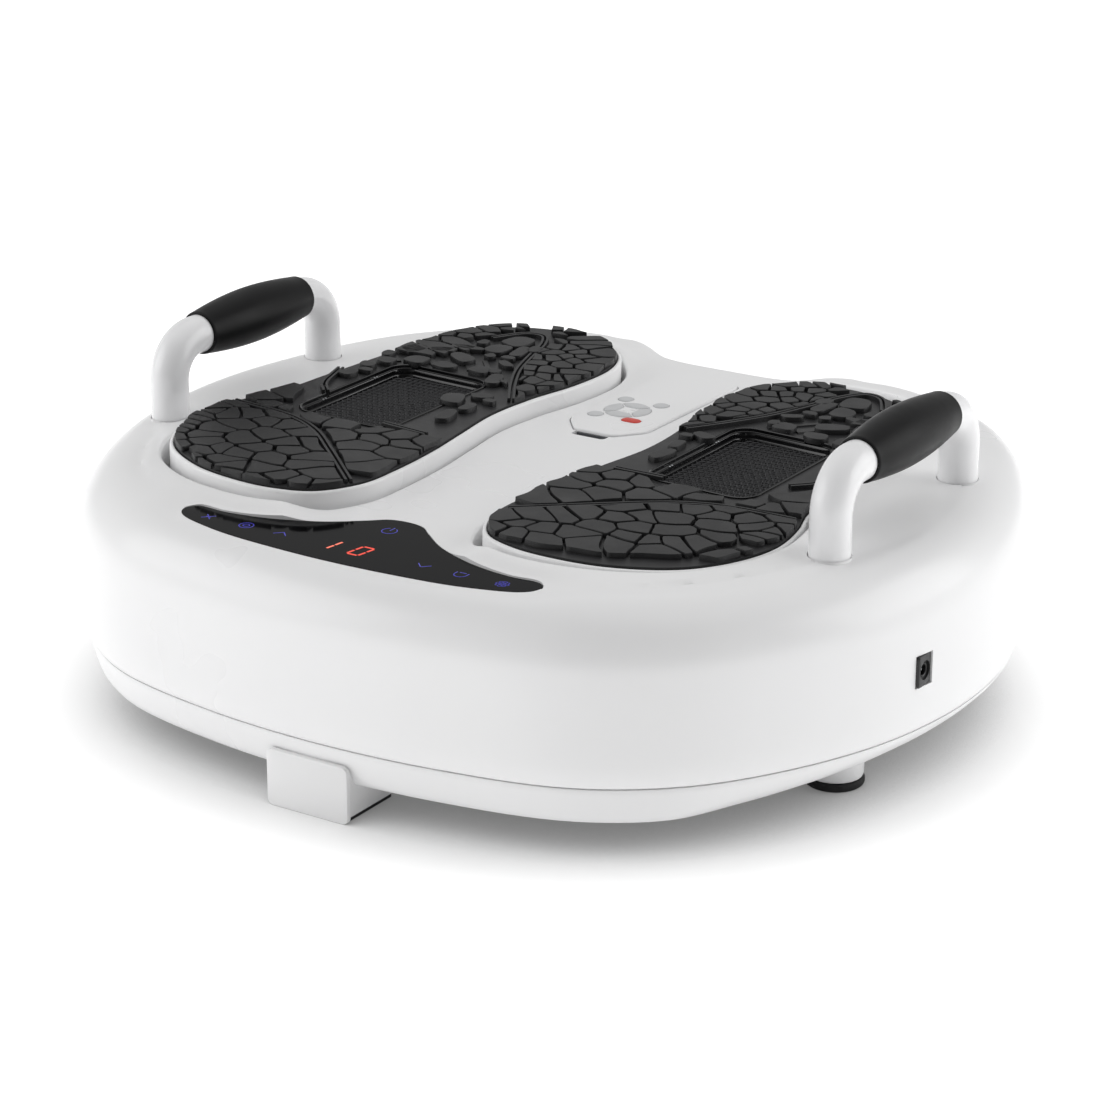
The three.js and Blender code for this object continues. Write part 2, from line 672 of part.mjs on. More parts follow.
// Moves the outline in, further where it faces sideways, and lays it at one height.
function trayRing(outline, inset, flank, z) {
  const normals = outwardNormals(outline);
  return outline.map((p, i) => {
    const share = Math.max(0, (Math.abs(normals[i].x) - FLANK_START) / (1 - FLANK_START)) ** 2;
    const moved = p.clone().addScaledVector(normals[i], -inset - flank * share);
    return new THREE.Vector3(moved.x, moved.y, z);
  });
}

function traySkin(extra) {
  return loft(TRAY_PROFILE.map(({ rise, inset, flank }) => {
    const drop = rise === 0 ? extra : 0;
    return trayRing(bodyOutline(BODY_STEPS), inset - extra, flank, TRAY_BOTTOM + rise - drop);
  }));
}

function bottomTray() {
  const outline = bodyOutline(BODY_STEPS);
  const lipInset = TRAY_PROFILE.at(-1).inset + WALL + FIT_GAP;
  const [lipLow, lipHigh] = [SEAM_Z - TRAY_LIP_REACH, SEAM_Z + TRAY_LIP_REACH];
  const lip = loft([trayRing(outline, lipInset, 0, lipLow), trayRing(outline, lipInset, 0, lipHigh)]);
  const hollow = loft([
    ...TRAY_PROFILE.slice(1, -1).map(({ rise, inset, flank }) => trayRing(outline, inset + WALL, flank,
      TRAY_BOTTOM + Math.max(rise, WALL))),
    trayRing(outline, lipInset + WALL / 2, 0, lipLow),
    trayRing(outline, lipInset + WALL / 2, 0, lipHigh + PAST),
  ]);
  const corners = [[1, 1], [1, -1], [-1, 1], [-1, -1]];
  const bosses = corners.map(([sideX, sideY]) => prism(
    circle(BOSS_RADIUS, sideX * BOSS_X, sideY * BOSS_Y), TRAY_BOTTOM + WALL / 2, BASE_BOTTOM - FIT_GAP));
  return join(cut(join(traySkin(0), lip), hollow), ...bosses);
}

// The plate's edge is divided like the tray's wall, so that the room between them stays even.
function baseFrame() {
  const ring = trayRing(bodyOutline(BODY_STEPS), BASE_INSET, BASE_SIDE_INSET, 0);
  const slots = [1, -1].map((side) => roundedBox(BASE_SLOT_WIDTH, BASE_SLOT_LENGTH, BASE_SLOT_CORNER,
    side * BASE_SLOT_X, BASE_SLOT_Y));
  return prism(ring.map((p) => new THREE.Vector2(p.x, p.y)), BASE_BOTTOM, BASE_TOP, slots);
}

// ---- Feet ----
function footColumn(x, y) {
  const radius = FOOT_COLUMN_RADIUS;
  const low = FOOT_PAD_HEIGHT + FIT_GAP;
  const high = TRAY_BOTTOM + FOOT_COLUMN_SINK;
  const column = turnedAlongZ([
    [0, low], [radius - FOOT_COLUMN_CHAMFER, low], [radius, low + FOOT_COLUMN_CHAMFER_RISE],
    [radius + FOOT_COLUMN_DRAFT, high], [0, high],
  ], x, y);
  return cut(column, traySkin(FIT_GAP));
}

function footPad(x, y) {
  const radius = FOOT_COLUMN_RADIUS;
  const widest = radius + FOOT_PAD_BULGE;
  const height = FOOT_PAD_HEIGHT;
  return turnedAlongZ([
    [0, 0], [radius - FOOT_PAD_TUCK, 0], [widest, FOOT_PAD_BULGE_RISE], [widest, height - FOOT_PAD_CHAMFER],
    [radius - FOOT_PAD_TOP_TUCK, height], [0, height],
  ], x, y);
}

function frontFoot() {
  const half = KICK_WIDTH / 2 - KICK_BLOCK_INSET;
  const blank = box(-half, half, KICK_BLOCK_FRONT, KICK_BLOCK_FRONT + KICK_DEPTH,
    KICK_PAD + FIT_GAP, KICK_TOP - KICK_BLOCK_INSET);
  return cut(blank, traySkin(FIT_GAP));
}

// A plate with rounded corners that stands upright in front of the foot block.
function frontFootCover() {
  const plate = prism(roundedBox(KICK_WIDTH, KICK_TOP, KICK_CORNER, 0, KICK_TOP / 2), 0, KICK_COVER);
  return cut(plate.rotateX(Math.PI / 2).translate(0, KICK_FACE + KICK_COVER, 0), traySkin(FIT_GAP));
}

function frontFootPad() {
  const half = KICK_WIDTH / 2 - KICK_PAD_INSET;
  return box(-half, half, KICK_BLOCK_FRONT + KICK_PAD_SETBACK,
    KICK_BLOCK_FRONT + KICK_DEPTH - KICK_PAD_SETBACK, 0, KICK_PAD);
}

// ---- Handles: a steel tube bent twice, with a moulded barrel grip on the bar ----
class HandlePath extends THREE.Curve {
  constructor(x) {
    super();
    const half = HANDLE_SPAN / 2;
    this.stations = [];
    for (const end of [-1, 1]) {
      const bend = [];
      for (let step = 0; step <= HANDLE_BEND_STEPS; step += 1) {
        const angle = Math.PI / 2 * step / HANDLE_BEND_STEPS;
        const y = HANDLE_Y + end * (half - HANDLE_BEND * (1 - Math.cos(angle)));
        const z = HANDLE_TOP - HANDLE_BEND * (1 - Math.sin(angle));
        const tangent = new THREE.Vector3(0, Math.sin(angle), -end * Math.cos(angle));
        bend.push({ place: new THREE.Vector3(x, y, z), tangent });
      }
      const footPlace = new THREE.Vector3(x, HANDLE_Y + end * half, BASE_TOP + FIT_GAP);
      const foot = { place: footPlace, tangent: bend[0].tangent };
      this.stations.push(...(end < 0 ? [foot, ...bend] : [...bend.reverse(), foot]));
    }
  }

  at(t) {
    const place = t * (this.stations.length - 1);
    const index = Math.min(Math.round(place), this.stations.length - 1);
    return this.stations[index];
  }

  getPoint(t) { return this.at(t).place.clone(); }

  getPointAt(t) { return this.at(t).place.clone(); }

  getTangentAt(t) { return this.at(t).tangent.clone(); }
}

function handle(side) {
  const path = new HandlePath(side * HANDLE_X);
  const radius = HANDLE_TUBE / 2;
  const shape = new THREE.Shape(circle(radius, 0, 0, HANDLE_STEPS));
  shape.holes = [new THREE.Path(circle(radius - HANDLE_TUBE_WALL, 0, 0, HANDLE_BORE_STEPS))];
  return new THREE.ExtrudeGeometry(shape, { steps: path.stations.length - 1, extrudePath: path });
}

function grip(side) {
  const half = GRIP_LENGTH / 2;
  const bore = HANDLE_TUBE / 2 + FIT_GAP;
  const ends = bore + GRIP_WALL;
  const profile = [[bore, GRIP_Y - half]];
  for (let step = 0; step <= GRIP_STATIONS; step += 1) {
    const along = -1 + 2 * step / GRIP_STATIONS;
    const swell = Math.cos(along * Math.PI / 2) ** GRIP_FULLNESS;
    profile.push([ends + GRIP_SWELL * swell, GRIP_Y + along * half]);
  }
  profile.push([bore, GRIP_Y + half], [bore, GRIP_Y - half]);
  return turnedAlongY(profile, side * HANDLE_X, HANDLE_TOP);
}

// ---- Touch panel, display and power inlet ----
function touchPanel() {
  return prism(panelOutline, VALLEY_Z - PANEL_THICKNESS + FIT_GAP, VALLEY_Z + PANEL_PROUD);
}

function displayModule() {
  const top = VALLEY_Z - PANEL_THICKNESS;
  const low = top - DISPLAY_HEIGHT;
  const housing = block(DISPLAY_X, DISPLAY_Y, DISPLAY_WIDTH, DISPLAY_DEPTH, low, top - BOARD_SINK);
  const halfWidth = DISPLAY_WIDTH / 2 + DISPLAY_BOARD_SIDE;
  const board = box(DISPLAY_X - halfWidth, DISPLAY_X + halfWidth,
    DISPLAY_Y - DISPLAY_DEPTH / 2 - DISPLAY_BOARD_FRONT, DISPLAY_Y + DISPLAY_DEPTH / 2 + DISPLAY_BOARD_BACK,
    low - BOARD_THICKNESS, low + BOARD_SINK);
  return join(housing, board);
}

function powerInlet() {
  const face = BODY_WIDTH / 2 - INLET_RECESS;
  const socket = box(face - INLET_DEPTH, face, INLET_Y - INLET_WIDTH / 2, INLET_Y + INLET_WIDTH / 2,
    INLET_Z - INLET_HEIGHT / 2, INLET_Z + INLET_HEIGHT / 2);
  const rod = (radius, x) => new THREE.CylinderGeometry(radius, radius, INLET_DEPTH, TURNED_STEPS)
    .rotateZ(Math.PI / 2).translate(x, INLET_Y, INLET_Z);
  const mouth = rod(INLET_BORE, face - INLET_MOUTH + INLET_DEPTH / 2);
  return join(cut(socket, mouth), rod(INLET_PIN_RADIUS, face - INLET_PIN_SETBACK - INLET_DEPTH / 2));
}

function controlBoard() {
  const low = BASE_TOP + FIT_GAP;
  const seat = low + BOARD_LIFT + SINK;
  const slab = block(BOARD_X, BOARD_Y, BOARD_WIDTH, BOARD_LENGTH, low + BOARD_LIFT,
    low + BOARD_LIFT + BOARD_THICKNESS);
  const standoffs = [1, -1].map((side) => block(BOARD_X + side * STANDOFF_X, BOARD_Y, STANDOFF_WIDTH,
    STANDOFF_LENGTH, low, low + BOARD_LIFT + STANDOFF_SINK));
  const blocks = BOARD_BLOCKS.map(({ x, y, width, length, top }) => block(BOARD_X + x, BOARD_Y + y, width,
    length, seat, low + top));
  const capacitors = BOARD_CAPACITORS.map(({ x, y, radius, top }) => prism(
    circle(radius, BOARD_X + x, BOARD_Y + y), seat, low + top));
  return join(slab, ...standoffs, ...blocks, ...capacitors);
}

// ---- Foot plates, soles and windows, drawn level ----
function footPlate(side) {
  const outline = onSide(plateOutline, side);
  const seat = onSide(grow(soleOutline, FIT_GAP), side);
  const blank = prism(outline, PLATE_SKIRT_BOTTOM, PLATE_RIM_TOP);
  const deckBottom = DECK_TOP - PLATE_DECK;
  const posts = POST_PLACES.map(([x, y]) => prism(circle(POST_RADIUS, side * x, y, BUTTON_STEPS),
    BEAM_TOP + FIT_GAP, DECK_TOP - SINK));
  const tray = cut(blank,
    prism(seat, DECK_TOP, PLATE_RIM_TOP + PAST),
    prism(grow(outline, -PLATE_SKIRT_WALL), PLATE_SKIRT_BOTTOM - PAST, deckBottom),
    prism(windowOutline(side, WINDOW_LEDGE), deckBottom - SINK, DECK_TOP + SINK));
  return join(tray, ...posts);
}

const sole = (side) => prism(onSide(soleOutline, side), SOLE_BOTTOM, SOLE_TOP, [windowOutline(side, 0)]);

function windowFrame(side) {
  const low = SOLE_TOP - WINDOW_DEPTH - GRILLE_THICKNESS - FRAME_SHELF;
  const high = SOLE_TOP - FRAME_TOP_DROP;
  const ring = (inset, z) => ringAt(windowOutline(side, inset), z);
  const outside = loft([
    ring(WINDOW_LEDGE + FIT_GAP, low), ring(WINDOW_LEDGE + FIT_GAP, DECK_TOP),
    ring(FIT_GAP, DECK_TOP + FRAME_FLANGE_RISE), ring(FIT_GAP, high),
  ]);
  const inside = loft([
    ring(FRAME_SHELF_INSET, low - SINK), ring(FRAME_SHELF_INSET, low + FRAME_SHELF - FRAME_SHELF_SLOPE),
    ring(FRAME_WALL_INSET, low + FRAME_SHELF), ring(FRAME_WALL_INSET, DECK_TOP),
    ring(WINDOW_FRAME_WALL, high + SINK),
  ]);
  return cut(outside, inside);
}

function grille(side) {
  return prism(windowOutline(side, FRAME_WALL_INSET + FIT_GAP),
    SOLE_TOP - WINDOW_DEPTH - GRILLE_THICKNESS + FIT_GAP, SOLE_TOP - WINDOW_DEPTH);
}

// ---- Rocker, drawn level ----
function rockerFrame() {
  const beam = (y) => block(0, y, ROCKER_SPAN, BEAM_WIDTH, BEAM_BOTTOM, BEAM_TOP);
  const spine = box(-SPINE_WIDTH / 2, SPINE_WIDTH / 2, FRONT_BEAM_Y, BACK_BEAM_Y, BEAM_BOTTOM, BEAM_TOP);
  const bushHole = PIVOT_RADIUS + BUSH_WALL + FIT_GAP;
  const hubs = [FRONT_BEAM_Y, BACK_BEAM_Y].map((y) => block(0, y, HUB_WIDTH, HUB_LENGTH,
    PIVOT_Z - bushHole - HUB_WALL, BEAM_BOTTOM + SINK));
  const lugMiddle = CONROD_WIDTH / 2 + LUG_GAP + LUG_THICKNESS / 2;
  const lugs = [1, -1].map((end) => block(-CRANK_ARM, FRONT_BEAM_Y + end * lugMiddle, LUG_WIDTH,
    LUG_THICKNESS, CONROD_PIN_Z - LUG_DROP, BEAM_BOTTOM + SINK));
  const reach = BACK_BEAM_Y + BEAM_WIDTH;
  return cut(join(beam(FRONT_BEAM_Y), beam(BACK_BEAM_Y), spine, ...hubs, ...lugs),
    rodAlongY(bushHole, -reach, reach, 0, PIVOT_Z),
    rodAlongY(CONROD_PIN_RADIUS + FIT_GAP, FRONT_BEAM_Y - BEAM_WIDTH, FRONT_BEAM_Y + BEAM_WIDTH,
      -CRANK_ARM, CONROD_PIN_Z));
}

function rockerBush(y) {
  return tubeAlongY(PIVOT_RADIUS + RUNNING_GAP, PIVOT_RADIUS + BUSH_WALL, y - HUB_LENGTH / 2,
    y + HUB_LENGTH / 2, 0, PIVOT_Z);
}

function conrodPin() {
  const half = CONROD_WIDTH / 2 + LUG_GAP + LUG_THICKNESS;
  return rodAlongY(CONROD_PIN_RADIUS, FRONT_BEAM_Y - half, FRONT_BEAM_Y + half, -CRANK_ARM, CONROD_PIN_Z);
}

function onRocker(geometry) {
  return geometry.translate(0, 0, -PIVOT_Z).rotateY(REST_TILT).translate(0, 0, PIVOT_Z);
}

// The connecting rod hangs straight down from the rocker's pin; its big end goes round the eccentric.
function conrod() {
  const pin = new THREE.Vector3(-CRANK_ARM, 0, CONROD_PIN_Z - PIVOT_Z)
    .applyAxisAngle(new THREE.Vector3(0, 1, 0), REST_TILT);
  const [x, top] = [pin.x, pin.z + PIVOT_Z];
  const bottom = top - CONROD_LENGTH;
  const [from, to] = [FRONT_BEAM_Y - CONROD_WIDTH / 2, FRONT_BEAM_Y + CONROD_WIDTH / 2];
  const bore = ECCENTRIC_RADIUS + BIG_END_CLEARANCE;
  const blank = join(
    rodAlongY(bore + BIG_END_WALL, from, to, x, bottom), rodAlongY(CONROD_EYE_RADIUS, from, to, x, top),
    block(x, FRONT_BEAM_Y, CONROD_SHANK, CONROD_WIDTH, bottom + bore, top));
  return cut(blank,
    rodAlongY(bore, from - PAST, to + PAST, x, bottom),
    rodAlongY(CONROD_PIN_RADIUS + RUNNING_GAP, from - PAST, to + PAST, x, top));
}

// ---- Drive on the base frame ----
function pivotBlock(y) {
  const half = PIVOT_BLOCK_LENGTH / 2;
  const low = BASE_TOP + FIT_GAP;
  const plate = block(0, y, PIVOT_BLOCK_WIDTH, PIVOT_BLOCK_LENGTH, low, PIVOT_Z - PIVOT_RADIUS);
  const head = rodAlongY(PIVOT_RADIUS + PIVOT_CAP, y - half, y + half, 0, PIVOT_Z);
  const flangeLength = PIVOT_BLOCK_LENGTH + 2 * FLANGE_REACH;
  const flange = block(0, y, PIVOT_FLANGE_WIDTH, flangeLength, low, low + FLANGE_THICKNESS);
  const hole = rodAlongY(PIVOT_RADIUS + FIT_GAP, y - flangeLength, y + flangeLength, 0, PIVOT_Z);
  return cut(join(plate, head, flange), hole);
}

function pivotShaft() {
  const overhang = HUB_LENGTH / 2 + SHAFT_OVERHANG;
  return rodAlongY(PIVOT_RADIUS, FRONT_BEAM_Y - overhang, BACK_BEAM_Y + overhang, 0, PIVOT_Z);
}

function bearingBlock(y) {
  const low = BASE_TOP + FIT_GAP;
  const body = block(-CRANK_ARM, y, BEARING_BLOCK_WIDTH, BEARING_BLOCK_LENGTH, low,
    SHAFT_Z + BEARING_BLOCK_RISE);
  const flange = block(-CRANK_ARM, y, BEARING_FLANGE_WIDTH, BEARING_BLOCK_LENGTH, low,
    low + FLANGE_THICKNESS);
  const hole = rodAlongY(SHAFT_RADIUS + RUNNING_GAP, y - BEARING_BLOCK_LENGTH, y + BEARING_BLOCK_LENGTH,
    -CRANK_ARM, SHAFT_Z);
  return cut(join(body, flange), hole);
}

function eccentricShaft() {
  const half = CONROD_WIDTH / 2 + LUG_GAP;
  return join(
    rodAlongY(SHAFT_RADIUS, SHAFT_FRONT, SHAFT_BACK, -CRANK_ARM, SHAFT_Z),
    rodAlongY(ECCENTRIC_RADIUS, FRONT_BEAM_Y - half, FRONT_BEAM_Y + half, -CRANK_ARM,
      SHAFT_Z + ECCENTRIC_THROW));
}

// A pulley with low flanges either side of its belt track.
function pulley(radius, bore, x, z) {
  const [low, high] = [PULLEY_Y - PULLEY_WIDTH / 2, PULLEY_Y + PULLEY_WIDTH / 2];
  const halfTrack = BELT_WIDTH / 2 + FIT_GAP;
  const [trackLow, trackHigh] = [PULLEY_Y - halfTrack, PULLEY_Y + halfTrack];
  const rim = radius + PULLEY_FLANGE;
  return turnedAlongY([
    [bore, low], [rim, low], [rim, trackLow], [radius, trackLow], [radius, trackHigh],
    [rim, trackHigh], [rim, high], [bore, high], [bore, low],
  ], x, z);
}

// The belt is the outline round both pulleys, less the pulleys and a small clearance.
function driveBelt() {
  const span = MOTOR_X + CRANK_ARM;
  const wrap = (extra) => {
    const [large, small] = [LARGE_PULLEY_RADIUS + extra, MOTOR_PULLEY_RADIUS + extra];
    const lean = Math.asin((large - small) / span);
    const arc = (x, radius, from, to, count) => Array.from({ length: count + 1 }, (_, i) => {
      const angle = from + (to - from) * i / count;
      return new THREE.Vector2(x + radius * Math.cos(angle), SHAFT_Z + radius * Math.sin(angle));
    });
    const up = Math.PI / 2 - lean;
    return [
      ...arc(-CRANK_ARM, large, up, 2 * Math.PI - up, LARGE_WRAP_STEPS),
      ...arc(MOTOR_X, small, -up, up, SMALL_WRAP_STEPS),
    ];
  };
  return prism(wrap(FIT_GAP + BELT_THICKNESS), 0, BELT_WIDTH, [wrap(FIT_GAP)])
    .rotateX(Math.PI / 2).translate(0, PULLEY_Y + BELT_WIDTH / 2, 0);
}

function motorPulley() {
  const shaft = rodAlongY(MOTOR_SHAFT_RADIUS, PULLEY_Y - PULLEY_WIDTH / 2 - MOTOR_SHAFT_END,
    MOTOR_FACE + MOTOR_SHAFT_INSIDE, MOTOR_X, SHAFT_Z);
  return join(pulley(MOTOR_PULLEY_RADIUS, MOTOR_SHAFT_RADIUS - SINK, MOTOR_X, SHAFT_Z), shaft);
}

function motorBracket() {
  const low = BASE_TOP + FIT_GAP;
  const half = BRACKET_WIDTH / 2;
  const back = MOTOR_FACE + BRACKET_THICKNESS;
  const plate = box(MOTOR_X - half, MOTOR_X + half, MOTOR_FACE, back, low, SHAFT_Z + BRACKET_RISE);
  const foot = box(MOTOR_X - half, MOTOR_X + half, MOTOR_FACE - BRACKET_FOOT, back, low,
    low + BRACKET_FOOT_THICKNESS);
  const hole = rodAlongY(MOTOR_NOSE_RADIUS + FIT_GAP, MOTOR_FACE - 2 * BRACKET_FOOT,
    MOTOR_FACE + 2 * BRACKET_FOOT, MOTOR_X, SHAFT_Z);
  return cut(join(plate, foot), hole);
}

function driveMotor() {
  const front = MOTOR_FACE + BRACKET_THICKNESS + FIT_GAP;
  const back = front + MOTOR_LENGTH;
  const noseFront = MOTOR_FACE - MOTOR_NOSE_PROUD;
  const bore = MOTOR_SHAFT_RADIUS + RUNNING_GAP;
  const boreEnd = MOTOR_FACE + MOTOR_BORE_DEPTH;
  return turnedAlongY([
    [bore, noseFront], [MOTOR_NOSE_RADIUS, noseFront], [MOTOR_NOSE_RADIUS, front],
    [MOTOR_RADIUS - MOTOR_CHAMFER, front], [MOTOR_RADIUS, front + MOTOR_CHAMFER],
    [MOTOR_RADIUS, back - MOTOR_CHAMFER], [MOTOR_RADIUS - MOTOR_CHAMFER, back], [0, back], [0, boreEnd],
    [bore, boreEnd], [bore, noseFront],
  ], MOTOR_X, SHAFT_Z);
}

// ---- Remote control ----
function buttonPlaces() {
  const [left, right] = [PAD_X - CORNER_X, PAD_X + CORNER_X];
  const [front, back] = [PAD_Y - CORNER_FRONT, PAD_Y + CORNER_BACK];
  const corners = [
    ['remote_power_button', right, front, RED_BUTTON],
    ['remote_button_front_left', left, front, GREY_BUTTON],
    ['remote_button_back_left', left, back, GREY_BUTTON],
    ['remote_button_back_right', right, back, GREY_BUTTON],
  ].map(([name, x, y, color]) => ({ name, x, y, radius: BUTTON_RADIUS, color }));
  const petals = [['front', 0, -1], ['back', 0, 1], ['left', -1, 0], ['right', 1, 0]].map(([name, x, y]) => ({
    name: `remote_petal_${name}`,
    x: PAD_X + x * PETAL_RING,
    y: PAD_Y + y * PETAL_RING,
    radius: PETAL_RADIUS,
    color: GREY_BUTTON,
  }));
  return [...corners, ...petals];
}

const remoteInner = () => grow(remoteOutline(0), -REMOTE_WALL);

function remoteCase() {
  const ledHole = rodAlongY(LED_RADIUS + FIT_GAP, REMOTE_FRONT - REMOTE_WALL, REMOTE_FRONT + 2 * REMOTE_WALL,
    0, LED_Z);
  return cut(prism(remoteOutline(0), REMOTE_BOTTOM, REMOTE_SPLIT_Z),
    prism(remoteInner(), REMOTE_FLOOR, REMOTE_SPLIT_Z + PAST), ledHole);
}

function remoteCover() {
  const low = REMOTE_SPLIT_Z + FIT_GAP;
  const holes = buttonPlaces().map(({ x, y, radius }) => prism(
    circle(radius + BUTTON_GAP, x, y, BUTTON_STEPS), low - PAST, REMOTE_TOP + PAST));
  return cut(prism(remoteOutline(0), low, REMOTE_TOP),
    prism(remoteInner(), low - PAST, REMOTE_TOP - COVER_WALL), ...holes);
}

function remoteButton({ x, y, radius }) {
  return prism(circle(radius, x, y, BUTTON_STEPS), REMOTE_SPLIT_Z + BUTTON_FOOT, REMOTE_TOP + BUTTON_PROUD);
}

function remoteLed() {
  return turnedAlongY([
    [0, REMOTE_FRONT - LED_TIP], [LED_TIP_RADIUS, REMOTE_FRONT - LED_DOME],
    [LED_RADIUS, REMOTE_FRONT + LED_SHOULDER], [LED_RADIUS, REMOTE_FRONT + LED_LENGTH],
    [0, REMOTE_FRONT + LED_LENGTH],
  ], 0, LED_Z);
}

function remoteBoard() {
  const half = REMOTE_WIDTH / 2 - REMOTE_WALL - REMOTE_BOARD_GAP;
  return box(-half, half, REMOTE_FRONT + REMOTE_CHAMFER, REMOTE_BACK - REMOTE_BOARD_BACK,
    REMOTE_SPLIT_Z - REMOTE_BOARD_DROP, REMOTE_SPLIT_Z + REMOTE_BOARD_RISE);
}

function coinCell() {
  const low = REMOTE_FLOOR + CELL_LIFT;
  return prism(circle(CELL_RADIUS, 0, CELL_Y), low, low + CELL_THICKNESS);
}

function batteryTray() {
  const half = CELL_TRAY_WIDTH / 2;
  const blank = box(-half, half, CELL_Y - CELL_TRAY_FRONT, CELL_Y + CELL_TRAY_BACK, REMOTE_FLOOR + FIT_GAP,
    REMOTE_FLOOR + CELL_TRAY_TOP);
  return cut(blank, prism(circle(CELL_RADIUS + FIT_GAP, 0, CELL_Y), REMOTE_FLOOR + CELL_LIFT - FIT_GAP,
    REMOTE_TOP));
}

// ---- Assembly ----
const plate = new THREE.Group();
const add = (name, geometry, material) => plate.add(piece(name, geometry, material));

add('top_shell', topShell(), WHITE_ABS);
add('bottom_tray', bottomTray(), WHITE_ABS);
add('base_frame', baseFrame(), PAINTED_STEEL);
add('touch_panel', touchPanel(), BLACK_GLOSS);
add('display_module', displayModule(), BLACK_ABS);
add('control_board', controlBoard(), CIRCUIT_GREEN);
add('power_inlet', powerInlet(), BLACK_ABS);

for (const [sideName, side] of [['left', -1], ['right', 1]]) {
  add(`${sideName}_handle`, handle(side), WHITE_COAT);
  add(`${sideName}_grip`, grip(side), GRIP_FOAM);
  for (const [endName, x, y] of [['front', FRONT_FOOT_X, FRONT_FOOT_Y], ['back', BACK_FOOT_X, BACK_FOOT_Y]]) {
    add(`${sideName}_${endName}_foot`, footColumn(side * x, y), WHITE_ABS);
    add(`${sideName}_${endName}_foot_pad`, footPad(side * x, y), BLACK_RUBBER);
  }
  add(`${sideName}_foot_plate`, onRocker(footPlate(side)), WHITE_ABS);
  add(`${sideName}_sole`, onRocker(sole(side)), BLACK_RUBBER);
  add(`${sideName}_window_frame`, onRocker(windowFrame(side)), BLACK_GLOSS);
  add(`${sideName}_grille`, onRocker(grille(side)), BLACK_ABS);
}

add('front_foot', frontFoot(), WHITE_ABS);
add('front_foot_cover', frontFootCover(), WHITE_ABS);
add('front_foot_pad', frontFootPad(), BLACK_RUBBER);

add('rocker_frame', onRocker(rockerFrame()), PAINTED_STEEL);
add('front_rocker_bush', onRocker(rockerBush(FRONT_BEAM_Y)), BRONZE);
add('back_rocker_bush', onRocker(rockerBush(BACK_BEAM_Y)), BRONZE);
add('conrod_pin', onRocker(conrodPin()), STEEL);
add('conrod', conrod(), STEEL);

add('pivot_shaft', pivotShaft(), STEEL);
add('front_pivot_block', pivotBlock(FRONT_BLOCK_Y), PAINTED_STEEL);
add('back_pivot_block', pivotBlock(BACK_BLOCK_Y), PAINTED_STEEL);
add('front_bearing_block', bearingBlock(FRONT_BEAM_Y - BEARING_BLOCK_OFFSET), PAINTED_STEEL);
add('back_bearing_block', bearingBlock(FRONT_BEAM_Y + BEARING_BLOCK_OFFSET), PAINTED_STEEL);
add('eccentric_shaft', eccentricShaft(), STEEL);
add('large_pulley', pulley(LARGE_PULLEY_RADIUS, SHAFT_RADIUS + FIT_GAP, -CRANK_ARM, SHAFT_Z), BLACK_ABS);
add('motor_pulley', motorPulley(), STEEL);
add('drive_belt', driveBelt(), BLACK_RUBBER);
add('motor_bracket', motorBracket(), PAINTED_STEEL);
add('drive_motor', driveMotor(), STEEL);

add('remote_case', remoteCase(), WHITE_ABS);
add('remote_cover', remoteCover(), WHITE_ABS);
add('remote_led', remoteLed(), CLEAR_SMOKE);
add('remote_board', remoteBoard(), CIRCUIT_GREEN);
add('coin_cell', coinCell(), STEEL);
add('battery_tray', batteryTray(), WHITE_ABS);
for (const button of buttonPlaces()) {
  add(button.name, remoteButton(button), button.color);
}

export default plate;
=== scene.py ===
# %% [markdown]
# A see-saw vibration plate: a low white body, two black tread soles that rock on one shaft, two carrying
# handles, a black touch panel and a small remote that lies in a pocket between the soles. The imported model
# is loaded first and never moved. Everything below is drawn around it, in metres, and rides on its bodies.

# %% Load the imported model
import json
import math

import bpy
import numpy as np
from mathutils import Matrix, Vector
from mathutils.geometry import delaunay_2d_cdt, tessellate_polygon


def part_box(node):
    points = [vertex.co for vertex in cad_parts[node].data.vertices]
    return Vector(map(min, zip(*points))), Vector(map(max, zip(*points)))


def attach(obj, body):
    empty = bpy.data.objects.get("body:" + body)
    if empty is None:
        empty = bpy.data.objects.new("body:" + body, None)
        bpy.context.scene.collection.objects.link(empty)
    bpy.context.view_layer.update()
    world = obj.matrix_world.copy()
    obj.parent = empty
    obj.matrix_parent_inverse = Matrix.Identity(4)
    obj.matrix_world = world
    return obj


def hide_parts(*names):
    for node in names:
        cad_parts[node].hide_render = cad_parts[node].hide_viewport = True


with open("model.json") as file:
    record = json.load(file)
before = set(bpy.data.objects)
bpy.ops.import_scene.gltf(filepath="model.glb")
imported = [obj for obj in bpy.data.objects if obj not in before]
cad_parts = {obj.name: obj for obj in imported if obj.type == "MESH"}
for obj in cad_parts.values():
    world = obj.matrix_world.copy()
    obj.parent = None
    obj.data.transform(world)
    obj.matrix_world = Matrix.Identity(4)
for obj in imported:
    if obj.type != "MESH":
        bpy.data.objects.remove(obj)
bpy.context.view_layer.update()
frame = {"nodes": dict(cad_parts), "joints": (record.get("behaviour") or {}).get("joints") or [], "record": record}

MM = 0.001
scene = bpy.context.scene

# %% [markdown]
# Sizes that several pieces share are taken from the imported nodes, in millimetres, so a piece sits where its
# node sits. The rocker is packed at one end of its stroke, so its pieces are drawn level and then tilted.


# %% Sizes read from the frame
def box_mm(node):
    """The lowest and highest corner of a node, in millimetres."""
    low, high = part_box(node)
    return np.array(low) / MM, np.array(high) / MM


def joint(name):
    return next(j for j in frame["joints"] if j["name"] == name)


